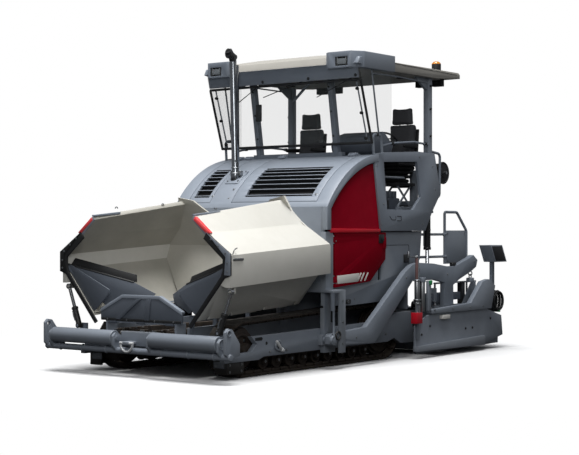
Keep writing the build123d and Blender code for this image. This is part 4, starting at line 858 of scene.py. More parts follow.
# ---------------------------------------------------------------- hopper
@dataclass
class Hopper:
    """Folding wings with seals, markers, corner plates and cylinders, and the front apron."""

    front_x: float = 2.915
    rear_x: float = 1.085
    rise: float = math.tan(math.radians(3.4))
    flap_corners: tuple[Point, ...] = ((1.205, 1.235), (0.396, 1.03), (0.13, 0.905), (0.20, 0.816),
                                       (0.597, 0.715), (1.16, 1.152))
    lip_corners: tuple[Point, ...] = ((1.19, 1.23), (0.40, 1.03), (0.42, 1.115), (1.16, 1.305))

    def lift(self, x: float) -> float:
        """How much higher the wing lies at this x than at its front end."""
        return (self.front_x - x) * self.rise

    def build(self) -> None:
        """Make both wings with what rides on them, and the apron."""
        for name, side in SIDES:
            self._wing(name, side)
            self._corner(name, side)
            self._cylinder(name, side)
        self._apron()

    def _wing(self, name: str, side: int) -> None:
        """One wing with its inside, front rim, marker, lifting eyes and grab handle."""
        wing = softened(f"hopper_wing_{name}",
                        (ENAMEL_CREAM, WARM_INSIDE, ENAMEL_BLUE_GREY_LIT, ENAMEL_CORAL, ZINC), 0.005)
        wing.repaint(WARM_INSIDE, (self.rear_x + 0.02, -1.2, 0.6), (2.9, 1.2, 2.2), (0, -side, 0.15), 0.35)
        wing.repaint(WARM_INSIDE, (self.rear_x - 0.01, -1.2, 0.5), (1.75, 1.2, 2.2), (1, 0, 0.2), 0.5)
        x = self.front_x
        # folded front rim along the inner and outer edges in the lit blue-grey, a painted highlight, with
        # the marker on its upper slope
        wing.plate(mirrored(((0.736, 1.748), (0.764, 1.79), (0.985, 1.602), (0.942, 1.56)), side),
                   Axis.X, x - 0.002, x + 0.012, 0.002, ENAMEL_BLUE_GREY_LIT)
        wing.plate(mirrored(((0.762, 1.745), (0.784, 1.766), (0.980, 1.607), (0.958, 1.586)), side),
                   Axis.X, x + 0.012, x + 0.019, 0.002, ENAMEL_CORAL)
        wing.plate(mirrored(((0.770, 1.766), (0.784, 1.778), (0.998, 1.604), (0.984, 1.592)), side),
                   Axis.X, x - 0.03, x + 0.016, 0.002, ENAMEL_CORAL)
        # cap in the lit blue-grey, a painted highlight, over the front of the top rail
        wing.plate([(x + 0.01, 1.786), (x + 0.01, 1.804), (x - 0.42, 1.843), (x - 0.42, 1.816)], Axis.Y,
                   side * 0.74, side * 0.78, 0.002, ENAMEL_BLUE_GREY_LIT)
        # lifting eyes beside the top rail
        for start_x in (2.55, 1.75):
            z = 1.79 + self.lift(start_x) + 0.05
            wing.ring((start_x, side * 0.755, z + 0.018), (0, side, 0), 0.02, 0.006, ZINC, math.pi, FORWARD,
                      10, 6)
        # grab handle and folding lock on the outer knee
        z = 1.36 + self.lift(2.86)
        wing.pipe([(2.87, side * 1.262, z + 0.01), (2.87, side * 1.285, z + 0.06),
                   (2.80, side * 1.27, z + 0.08), (2.80, side * 1.235, z + 0.065)], 0.006, 0.02, ZINC, 1)
        wing.block((2.70, side * 1.262, z - 0.055), (2.87, side * 1.28, z - 0.03), 0.004, ZINC)
        wing.finish()

    def _corner(self, name: str, side: int) -> None:
        """Rubber seal along the front edge and the folding corner plate with its lip."""
        x = self.front_x
        seal = softened(f"wing_seal_{name}", (BELT_RUBBER, ENAMEL_BLUE_GREY, ZINC))
        frame_corners = ((1.203, 1.154), (1.288, 1.150), (1.288, 1.378), (0.968, 1.594), (0.952, 1.612),
                         (1.222, 1.345))
        seal.plate(mirrored(frame_corners, side), Axis.X, x + 0.02, x + 0.026, 0.002,
                   ENAMEL_BLUE_GREY if side > 0 else BELT_RUBBER)
        for y, z in ((1.02, 1.535), (1.12, 1.46), (1.22, 1.385), (1.245, 1.28), (1.245, 1.19)):
            seal.bolt((x + 0.026, side * y, z), FORWARD, 0.008)
        seal.finish()
        # corner plate in the shaded blue-grey: painted shade
        plate = softened(f"wing_corner_plate_{name}", (ENAMEL_BLUE_GREY_SHADED, BELT_RUBBER, ZINC), 0.002)
        self._flap(plate, side)
        plate.finish()

    def _flap(self, plate: Shape, side: int) -> None:
        """Sheet that carries the corner plate on towards the conveyor, leaning back, with a rubber lip."""
        lean = Matrix(((1, 0.418 * side, -0.3, 2.7648), (0, 1, 0, 0), (0, 0, 1, 0), (0, 0, 0, 1)))
        old = set(plate.mesh.verts)
        plate.plate(mirrored(self.flap_corners, side), Axis.X, 0.0, 0.008, 0.002)
        plate.plate(mirrored(self.lip_corners, side), Axis.X, -0.05, -0.038, 0.003, BELT_RUBBER)
        plate.rod((0.002, side * 1.19, 1.231), (0.002, side * 0.40, 1.031), 0.011, segments=12,
                  finish=BELT_RUBBER)
        bmesh.ops.transform(plate.mesh, matrix=lean, verts=[v for v in plate.mesh.verts if v not in old])

    def _cylinder(self, name: str, side: int) -> None:
        """Wing cylinder: painted barrel with gland and ports, chromed rod."""
        base, eye = Vector((2.85, side * 1.06, 0.525)), Vector((2.85, side * 1.225, 0.975))
        way = (eye - base).normalized()
        barrel = softened(f"wing_barrel_{name}", (ENAMEL_BLACK, ZINC), 0.002)
        barrel.rod(base + way * 0.196, base + way * 0.222, 0.039, segments=24, bevel=0.004)
        for share in (0.07, 0.17):
            port = base + way * share
            barrel.rod(port + Vector((0.028, 0, 0)), port + Vector((0.05, 0, 0)), 0.011, segments=6,
                       finish=ZINC)
        barrel.pipe([base + way * 0.17 + Vector((0.048, 0, 0)), base + way * 0.12 + Vector((0.056, 0, 0)),
                     base + way * 0.07 + Vector((0.048, 0, 0))], 0.006, 0.02, ZINC, 1)
        barrel.finish()
        softened(f"wing_rod_{name}", (CHROME,), 0.001).finish()

    def _apron(self) -> None:
        """Front apron in the shaded blue-grey, a painted shade, its rim and upward faces in the lit
        blue-grey, a painted highlight, with ribs and rubber foot.
        """
        apron = softened("front_apron",
                         (ENAMEL_BLUE_GREY_SHADED, BELT_RUBBER, ENAMEL_BLACK, ZINC, ENAMEL_BLUE_GREY_LIT), 0.003)
        # painted highlight: the apron's upward faces take the lit blue-grey
        apron.repaint(ENAMEL_BLUE_GREY_LIT, (2.88, -0.7, 0.69), (2.96, 0.7, 0.92), (0, 0, 1), 0.35)
        for y_top, y_foot in ((0.13, 0.10), (-0.02, -0.34)):
            apron.plate([(y_top + 0.03, 0.862), (y_top - 0.03, 0.862), (y_foot - 0.035, 0.63),
                         (y_foot + 0.035, 0.63)], Axis.X, 2.944, 2.962, 0.004)
        rim = [(0.615, 0.742), (0.285, 0.907), (-0.285, 0.907), (-0.615, 0.742), (-0.615, 0.705),
               (-0.277, 0.868), (0.277, 0.868), (0.615, 0.705)]
        apron.plate(rim, Axis.X, 2.944, 2.951, 0.002, ENAMEL_BLUE_GREY_LIT)
        apron.block((2.943, -0.6, 0.612), (2.957, 0.6, 0.64), 0.003, BELT_RUBBER)
        for y in (-0.5, -0.2, 0.22, 0.5):
            apron.bolt((2.957, y, 0.627), FORWARD, 0.007)
        apron.finish()


# ---------------------------------------------------------------- hood, stack and body
@dataclass
class Hood:
    """Arched hood with two louvred lids, the stack between them and the dark engine bay."""

    arc_points: tuple[Point, ...] = ((-0.03, 2.56), (0.64, 2.318), (1.052, 1.88))
    stack: Point = (0.69, -0.49)
    louvre_x: Point = (0.505, 0.955)
    louvre_steps: int = 8
    mouth_corners: int = 28

    def _circle(self) -> tuple[float, float, float]:
        """Centre and radius of the hood's arc through its three points."""
        (ax, az), (bx, bz), (cx, cz) = self.arc_points
        d = 2 * (ax * (bz - cz) + bx * (cz - az) + cx * (az - bz))
        ux = ((ax**2 + az**2) * (bz - cz) + (bx**2 + bz**2) * (cz - az) + (cx**2 + cz**2) * (az - bz)) / d
        uz = ((ax**2 + az**2) * (cx - bx) + (bx**2 + bz**2) * (ax - cx) + (cx**2 + cz**2) * (bx - ax)) / d
        return ux, uz, math.hypot(ax - ux, az - uz)

    def height(self, x: float) -> float:
        """Height of the hood's outer arc at this x."""
        ux, uz, radius = self._circle()
        return uz + math.sqrt(radius**2 - (x - ux) ** 2)

    def build(self) -> None:
        """Make shell, lids, stack and engine bay."""
        # shell and lids in the lit blue-grey: painted highlight on the upward hood
        shell = softened("hood_shell", (ENAMEL_BLUE_GREY_LIT, BELT_RUBBER, ZINC))
        for x in (0.86, 0.955):
            z = self.height(x)
            shell.rod((x, -0.37, z - 0.004), (x + 0.006, -0.37, z + 0.008), 0.018, segments=16, bevel=0.002,
                      finish=ZINC)
        shell.finish()
        for name, low, high in (("left", -0.12, 0.90), ("right", -0.945, -0.70)):
            lid = softened(f"hood_lid_{name}", (ENAMEL_BLUE_GREY_LIT, DARK_INSIDE, ZINC), 0.003)
            self._screen(lid, low, high)
            lid.rod((0.93, high + 0.05, self.height(0.93) - 0.004),
                    (0.937, high + 0.05, self.height(0.93) + 0.006), 0.02, segments=18, bevel=0.002,
                    finish=ZINC)
            lid.finish()
        self._bay()
        self._stack()

    def _screen(self, lid: Shape, low: float, high: float) -> None:
        """Painted shade: dark backs of the slats, and a dark screen behind them for the unlit bay."""
        lid.repaint(DARK_INSIDE, (0.47, low - 0.02, 1.8), (0.98, high + 0.02, 2.4), (0.68, 0, -0.73), 0.6)
        start, end = self.louvre_x
        points = [start + (end - start) * n / self.louvre_steps for n in range(self.louvre_steps + 1)]
        upper = [(x, self.height(x) - 0.05) for x in points]
        lower = [(x, self.height(x) - 0.056) for x in reversed(points)]
        lid.plate(upper + lower, Axis.Y, low - 0.005, high + 0.005, 0, DARK_INSIDE)

    def _bay(self) -> None:
        """Engine in painted shade for the unlit bay, with its rocker covers."""
        bay = softened("engine_block", (DARK_INSIDE, ENAMEL_BLACK), 0.01)
        for number in range(6):
            x = 0.02 + number * 0.145
            bay.block((x, -0.16, 1.78), (x + 0.12, 0.16, 1.86), 0.012, ENAMEL_BLACK)
        bay.finish()

    def _stack(self) -> None:
        """Polished stack with clamp, base bracket and a black elbow ending in an oval mouth."""
        stack = softened("exhaust_stack", (STACK_STEEL, DARK_INSIDE, ZINC, ENAMEL_BLUE_GREY_LIT, ENAMEL_BLACK),
                         0.002)
        x, y = self.stack
        z = self.height(x)
        stack.repaint(ENAMEL_BLACK, (0.5, -0.6, 3.74), (0.95, -0.4, 3.95))
        stack.rod((x - 0.002, y, z + 0.2), (x + 0.01, y, 3.70), 0.0505, segments=32, bevel=0.004,
                  finish=STACK_STEEL)
        stack.rod((x + 0.02, y, 3.79), (x + 0.14, y, 3.838), 0.046, 0.05, segments=28, finish=ENAMEL_BLACK)
        angles = [number * math.tau / self.mouth_corners for number in range(self.mouth_corners)]
        # the inner oval of the mouth is painted shade for the inside of the pipe
        for half, depth, finish in ((1.0, 0.0, ENAMEL_BLACK), (0.84, 0.004, DARK_INSIDE)):
            oval = [(y + 0.052 * half * math.cos(a), 3.837 + 0.063 * half * math.sin(a)) for a in angles]
            stack.plate(oval, Axis.X, x + 0.13, x + 0.144 + depth, 0.001, finish)
        for level, radius in ((0.06, 0.062), (0.13, 0.05)):
            stack.ring((x + level * 0.03, y, z + level), (0, 0, 1), radius, 0.006, ZINC)
        stack.block((x - 0.03, y + 0.055, z + 0.03), (x + 0.03, y + 0.1, z + 0.09), 0.006, ZINC)
        stack.bolt((x + 0.03, y + 0.08, z + 0.06), FORWARD, 0.01)
        # foot plate of the stack in the lit blue-grey: painted highlight
        rear, front = x - 0.12, x + 0.10
        rear_z, front_z = self.height(rear), self.height(front)
        foot = [(rear, rear_z + 0.004), (front, front_z + 0.004), (front, front_z + 0.016),
                (rear, rear_z + 0.02)]
        stack.plate(foot, Axis.Y, y - 0.09, y + 0.12, 0.003, ENAMEL_BLUE_GREY_LIT)
        for dx, dy in ((-0.09, -0.07), (0.07, -0.07), (-0.09, 0.1), (0.07, 0.1)):
            stack.bolt((x + dx, y + dy, self.height(x + dx) + 0.018), (0.5, 0, 0.86), 0.008)
        stack.finish()


@dataclass
class BodySides:
    """Grey walls, red panels and red doors on both sides."""

    wall_y: float = 1.13
    panel_y: float = 1.172
    trim_z: float = 1.61
    plate_corners: tuple[Point, ...] = ((0.824, 1.089), (0.364, 1.112), (0.391, 1.008), (0.817, 0.994))
    stripe_tops: tuple[float, ...] = (0.337, 0.274, 0.19)
    wall_bolts: tuple[Point, ...] = ((-0.84, 1.05), (-0.72, 1.01), (0.4, 0.80), (-0.3, 0.82), (0.86, 0.83))

    def build(self) -> None:
        """Make walls, panels and doors."""
        walls = softened("body_sides", (ENAMEL_BLUE_GREY, DARK_INSIDE, ENAMEL_BLACK, ZINC))
        for _, side in SIDES:
            self._wall_details(walls, side)
        walls.finish()
        panels = softened("side_panels", (ENAMEL_RED, ENAMEL_BRIGHT_AND_LIT_RED))
        # painted highlight: the panels' upward faces and the strip along their top edge take the brighter
        # red
        panels.repaint(ENAMEL_BRIGHT_AND_LIT_RED, (-0.2, -1.3, self.trim_z - 0.02), (1.1, 1.3, self.trim_z + 0.05),
                       (0, 0, 1), 0.5)
        for _, side in SIDES:
            low, high = span(side, self.panel_y - 0.006, self.panel_y + 0.016)
            panels.plate([(0.966, self.trim_z - 0.012), (0.966, self.trim_z + 0.04),
                          (-0.082, self.trim_z + 0.03), (-0.082, self.trim_z - 0.012)], Axis.Y, low, high,
                         0.006, ENAMEL_BRIGHT_AND_LIT_RED)
        panels.finish()
        for name, side in SIDES:
            self._door(name, side)

    def _wall_details(self, walls: Shape, side: int) -> None:
        """Fillers, cross wall, seams, hatch outline and catches of one wall."""
        face = side * self.wall_y
        low, high = face - side * 0.002, face + side * 0.0015
        walls.block((1.02, side * 1.095, 1.608), (1.05, side * 1.138, 1.903), 0.003)
        # painted shade: upward faces along the wall top, and a dark strip behind them, go near-black
        walls.repaint(DARK_INSIDE, (-0.92, -1.3, 1.58), (-0.12, 1.3, 1.68), (0, 0, 1), 0.5)
        walls.block((-0.9, side * 1.06, 1.595), (-0.08, side * 1.12, 1.65), 0, DARK_INSIDE)
        walls.block((-0.86, side * 0.6, 0.62), (-0.83, side * 1.09, 1.56), 0.004)
        walls.block((-0.12, side * 1.09, 0.95), (0.12, side * 1.126, 1.16), 0.004)
        walls.block((-0.88, low, 1.606), (-0.25, high, 1.613), 0, DARK_INSIDE)
        walls.block((-0.71, low, 1.436), (-0.25, high, 1.442), 0, DARK_INSIDE)
        walls.pipe([(-0.70, face, 1.439), (-0.816, face, 1.439), (-0.816, face, 1.16)], 0.0035, 0.08,
                   DARK_INSIDE, 1)
        outer = face + side * 0.02
        walls.block((-0.80, face, 1.215), (-0.69, outer, 1.32), 0.006, ENAMEL_BLACK)
        walls.block((0.50, face, 0.745), (0.62, outer, 0.80), 0.008, ENAMEL_BLACK)
        walls.ring((0.56, outer, 0.772), ACROSS, 0.014, 0.004, ZINC, segments=16, sides=6)
        walls.side_bolts(side, self.wall_y, self.wall_bolts, 0.008)

    def _door(self, name: str, side: int) -> None:
        """Red door with blank plate, three slanted stripes, latch and hinge bolts."""
        door = softened(f"side_door_{name}", (ENAMEL_RED, ENAMEL_WHITE, ENAMEL_BLACK, ZINC), 0.005)
        low, high = span(side, self.panel_y - 0.001, self.panel_y + 0.0025)
        door.plate(self.plate_corners, Axis.Y, low, high, 0.001, ENAMEL_WHITE)
        for top in self.stripe_tops:
            door.plate([(top, 1.112), (top - 0.032, 1.114), (top + 0.038, 1.014), (top + 0.07, 1.012)],
                       Axis.Y, low, high, 0.001, ENAMEL_WHITE)
        low, high = span(side, self.panel_y - 0.002, self.panel_y + 0.010)
        door.block((-0.175, low, 1.465), (-0.06, high, 1.575), 0.008, ENAMEL_BLACK)
        low, high = span(side, self.panel_y + 0.008, self.panel_y + 0.019)
        door.block((-0.16, low, 1.49), (-0.10, high, 1.56), 0.005, ENAMEL_BLACK)
        door.side_bolts(side, self.panel_y, ((0.845, 1.0), (0.845, 1.5)), 0.007)
        door.finish()


# ---------------------------------------------------------------- platform
@dataclass
class Platform:
    """Side frames, deck, console, seats and rails."""

    seat_x: float = -1.08
    seat_y: float = 0.745
    deck_z: float = 1.88
    frame_y: float = 1.19
    frame_bolts: tuple[Point, ...] = ((-0.10, 1.70), (-0.15, 1.95), (0.0, 2.42), (-0.98, 2.56),
                                      (-1.30, 2.45), (-1.36, 2.15), (-1.05, 1.70))
    clips: tuple[Point, ...] = ((-0.02, 1.17, 2.80), (-0.36, 1.17, 2.709), (-1.2, 1.136, 2.742))
    clip_half: Point = (0.02, 0.024, 0.02)

    def build(self) -> None:
        """Make the platform's pieces."""
        deck = softened("platform", (ENAMEL_BLUE_GREY, DARK_INSIDE, ENAMEL_BLACK, ZINC, ENAMEL_BLUE_GREY_SHADED),
                        0.005)
        for _, side in SIDES:
            face = side * self.frame_y
            # round-ended grip recess, drawn as its outline in painted shade
            deck.pipe([(-0.28, face, 1.80), (-0.33, face, 1.755), (-0.42, face, 1.755),
                       (-0.42, face, 1.80)], 0.0045, 0.03, DARK_INSIDE, 1)
            deck.pipe([(-0.45, face, 1.80), (-0.545, face, 1.80), (-0.545, face, 1.745),
                       (-0.45, face, 1.745)], 0.0045, 0.03, DARK_INSIDE, 1)
            deck.side_bolts(side, self.frame_y, self.frame_bolts, 0.008)
        self._levers(deck)
        for x in range(14):
            for y in range(22):
                if (x + y) % 2:
                    deck.block((-1.18 + x * 0.08, -1.02 + y * 0.093, self.deck_z - 0.001),
                               (-1.15 + x * 0.08, -0.99 + y * 0.093, self.deck_z + 0.003), 0)
        deck.finish()
        self._console()
        for name, side in SIDES:
            self._seat(name, side)
        self._bases()
        rails = softened("handrails", (ENAMEL_BLUE_GREY, ENAMEL_BLACK), 0.0)
        half = Vector(self.clip_half)
        for x, y, z in self.clips:
            for _, side in SIDES:
                clip = Vector((x, side * y, z))
                rails.block(clip - half, clip + half, 0.006, ENAMEL_BLACK)
        rails.finish()

    def _levers(self, deck: Shape) -> None:
        """Valve block, levers and hoses under the console, behind the side opening."""
        z = self.deck_z
        for _, side in SIDES:
            y = side * 0.82
            # valve block and levers in the shaded blue-grey: painted shade under the console
            deck.block((-1.0, y - 0.1, z), (-0.68, y + 0.06, z + 0.16), 0.02, ENAMEL_BLUE_GREY_SHADED)
            for x in (-0.94, -0.84, -0.74):
                deck.rod((x, y, z + 0.15), (x, y, z + 0.25), 0.036, segments=14, bevel=0.006,
                         finish=ENAMEL_BLUE_GREY_SHADED)
            deck.block((-0.62, y - 0.14, z), (-0.32, y + 0.14, z + 0.13), 0.01, ENAMEL_BLACK)
            for number in range(4):
                x = -0.58 + number * 0.075
                deck.rod((x, y + side * 0.05, z + 0.12), (x - 0.02, y + side * 0.09, z + 0.3), 0.006,
                         segments=8, finish=ZINC)
                deck.rod((x - 0.02, y + side * 0.09, z + 0.3), (x - 0.024, y + side * 0.098, z + 0.345),
                         0.014, segments=10, bevel=0.003, finish=ENAMEL_BLACK)
            for number in range(3):
                y_hose = side * (0.72 + number * 0.05)
                deck.pipe([(-0.62, y_hose, z + 0.05), (-0.78, y_hose, z + 0.1 + number * 0.03),
                           (-0.84, y_hose, z + 0.004)], 0.012, 0.06, ENAMEL_BLACK, 1)
            deck.rod((-0.16, side * 0.95, z + 0.42), (-0.98, side * 0.95, z + 0.42), 0.014, segments=12)

    def _console(self) -> None:
        """Boat-shaped console with screen, wheel, switches and grips."""
        console = softened("console", (PLASTIC_GREY, PLASTIC_BLACK, DARK_INSIDE, ZINC, LAMP_GLASS), 0.02,
                           20)
        rear = Matrix.Rotation(math.radians(38), 3, "Y")
        console.block((-0.58, 0.50, 2.775), (-0.46, 0.74, 2.79), 0.004, PLASTIC_BLACK, rear)
        console.block((-0.585, 0.52, 2.788), (-0.47, 0.72, 2.792), 0.001, DARK_INSIDE, rear)
        for number in range(8):
            y = 0.77 + number * 0.028
            console.rod((-0.50, y, 2.79), (-0.51, y, 2.806), 0.007, segments=10, bevel=0.001, finish=ZINC)
        console.rod((-0.60, 0.90, 2.70), (-0.66, 0.90, 2.78), 0.022, segments=16, finish=PLASTIC_BLACK)
        console.ring((-0.67, 0.90, 2.79), (-0.55, 0, 0.83), 0.13, 0.013, PLASTIC_BLACK)
        for turn in (0, 2.1, 4.2):
            hub = Vector((-0.67, 0.90, 2.79))
            side_way = Vector((0, 1, 0)) * math.cos(turn) + Vector((0.83, 0, 0.55)) * math.sin(turn)
            console.rod(hub, hub + side_way * 0.128, 0.008, segments=8, finish=PLASTIC_BLACK)
        console.block((-0.40, 0.60, 2.54), (-0.30, 0.86, 2.60), 0.012, PLASTIC_BLACK)
        for y in (0.47, 0.95):
            console.block((-0.175, y - 0.05, 2.70), (-0.155, y + 0.05, 2.74), 0.004, ZINC)
        console.finish()

    def _seat(self, name: str, side: int) -> None:
        """Suspension seat: moulded pan with cloth cushion, back and narrow headrest."""
        x, y = self.seat_x, side * self.seat_y
        shell = Shape(f"seat_{name}_shell", "tractor", (PLASTIC_BLACK, ZINC), (f"seat_{name}",))
        shell.plate([(x + 0.24, 2.496), (x + 0.25, 2.53), (x - 0.20, 2.53), (x - 0.255, 2.95),
                     (x - 0.275, 2.95), (x - 0.235, 2.496)], Axis.Y, y - 0.21, y + 0.21, 0.012)
        for post_y in (y - 0.06, y + 0.06):
            shell.rod((x - 0.225, post_y, 2.94), (x - 0.215, post_y, 3.06), 0.009, segments=10, finish=ZINC)
        for edge in (-1, 1):
            shell.plate([(x - 0.22, 2.70), (x - 0.22, 2.755), (x + 0.10, 2.735), (x + 0.12, 2.705),
                         (x + 0.08, 2.69)], Axis.Y, y + edge * 0.19, y + edge * 0.23, 0.014)
        shell.finish()
        parts = (
            ("cushion", ((0.245, 2.53), (0.262, 2.585), (0.10, 2.60), (-0.12, 2.585), (-0.18, 2.53)), 0.205,
             0.055), ("back", ((-0.118, 2.60), (-0.15, 2.78), (-0.163, 3.02), (-0.235, 3.02),
                               (-0.258, 2.95), (-0.205, 2.58)), 0.195, 0.05),
            ("headrest", ((-0.15, 3.005), (-0.155, 3.225), (-0.222, 3.225), (-0.236, 3.005)), 0.155, 0.04),
        )
        for part_name, outline, half, crown in parts:
            pad = Shape(f"seat_{name}_{part_name}", "tractor", (SEAT_CLOTH,))
            pad.plate([(x + a, b) for a, b in outline], Axis.Y, y - half, y + half, 0.024)
            piece = pad.finish(smooth=60)
            puff(piece, crown)

    def _bases(self) -> None:
        """Scissor stands of the seats with rubber bellows of rounded folds."""
        base = Shape("seat_stands", "tractor", (PLASTIC_BLACK, BELT_RUBBER, ZINC, ENAMEL_BLUE_GREY),
                     ("seat_bases",))
        for _, side in SIDES:
            x, y = self.seat_x, side * self.seat_y
            base.block((x - 0.19, y - 0.18, 1.88), (x + 0.19, y + 0.18, 1.93), 0.01, ENAMEL_BLUE_GREY)
            for dx in (-0.16, 0.16):
                for dy in (-0.14, 0.14):
                    base.rod((x + dx, y + dy, 1.925), (x - dx, y + dy, 2.205), 0.014, segments=10,
                             finish=ENAMEL_BLUE_GREY)
            for z in (1.94, 2.19):
                base.rod((x - 0.16, y - 0.15, z), (x - 0.16, y + 0.15, z), 0.012, segments=10)
            base.block((x - 0.2, y - 0.19, 2.2), (x + 0.2, y + 0.19, 2.24), 0.008)
            for fold in range(4):
                z = 2.24 + fold * 0.055
                half = 0.14 + fold * 0.018
                base.block((x - half, y - half, z + 0.004), (x + half, y + half, z + 0.05), 0.02,
                           BELT_RUBBER)
                base.block((x - half + 0.03, y - half + 0.03, z + 0.04),
                           (x + half - 0.03, y + half - 0.03, z + 0.062), 0.004, BELT_RUBBER)
            base.block((x - 0.22, y - 0.215, 2.455), (x + 0.215, y + 0.215, 2.495), 0.012)
            base.rod((x + 0.16, y - side * 0.16, 2.46), (x + 0.30, y - side * 0.16, 2.455), 0.01,
                     segments=10, finish=ZINC)
        base.finish()


VOXEL_SIZE = 0.011
CLOTH_PRESSURE = 4.0
CLOTH_TENSION = 25.0
CLOTH_FRAMES = 20
PUFF_SHARE = 0.3


def puff(piece: bpy.types.Object, crown: float) -> None:
    """Blow a closed cushion up by a cloth simulation and keep the result.

    Args:
        piece: the cushion's object.
        crown: how far the crown rises, in metres; a point moves by PUFF_SHARE of it at most.
    """
    scene = bpy.context.scene
    remesh = piece.modifiers.new("voxels", "REMESH")
    remesh.mode, remesh.voxel_size = "VOXEL", VOXEL_SIZE
    apply_modifier(piece, remesh.name)
    start = [v.co.copy() for v in piece.data.vertices]
    cloth = piece.modifiers.new("cloth", "CLOTH")
    cloth.settings.use_pressure = True
    cloth.settings.uniform_pressure_force = CLOTH_PRESSURE
    cloth.settings.effector_weights.gravity = 0.0
    cloth.settings.tension_stiffness = CLOTH_TENSION
    cloth.point_cache.frame_end = CLOTH_FRAMES
    for frame_number in range(1, CLOTH_FRAMES + 1):
        scene.frame_set(frame_number)
    apply_modifier(piece, cloth.name)
    scene.frame_set(1)
    limit = crown * PUFF_SHARE
    for vertex, home in zip(piece.data.vertices, start):
        move = vertex.co - home
        if move.length > limit:
            vertex.co = home + move.normalized() * limit
    smooth = piece.modifiers.new("round", "SUBSURF")
    smooth.levels = smooth.render_levels = 1
    apply_modifier(piece, smooth.name)
    for polygon in piece.data.polygons:
        polygon.use_smooth = True


def apply_modifier(piece: bpy.types.Object, name: str) -> None:
    """Apply one modifier to the mesh of a piece."""
    with bpy.context.temp_override(object=piece, active_object=piece, selected_objects=[piece]):
        bpy.ops.object.modifier_apply(modifier=name)


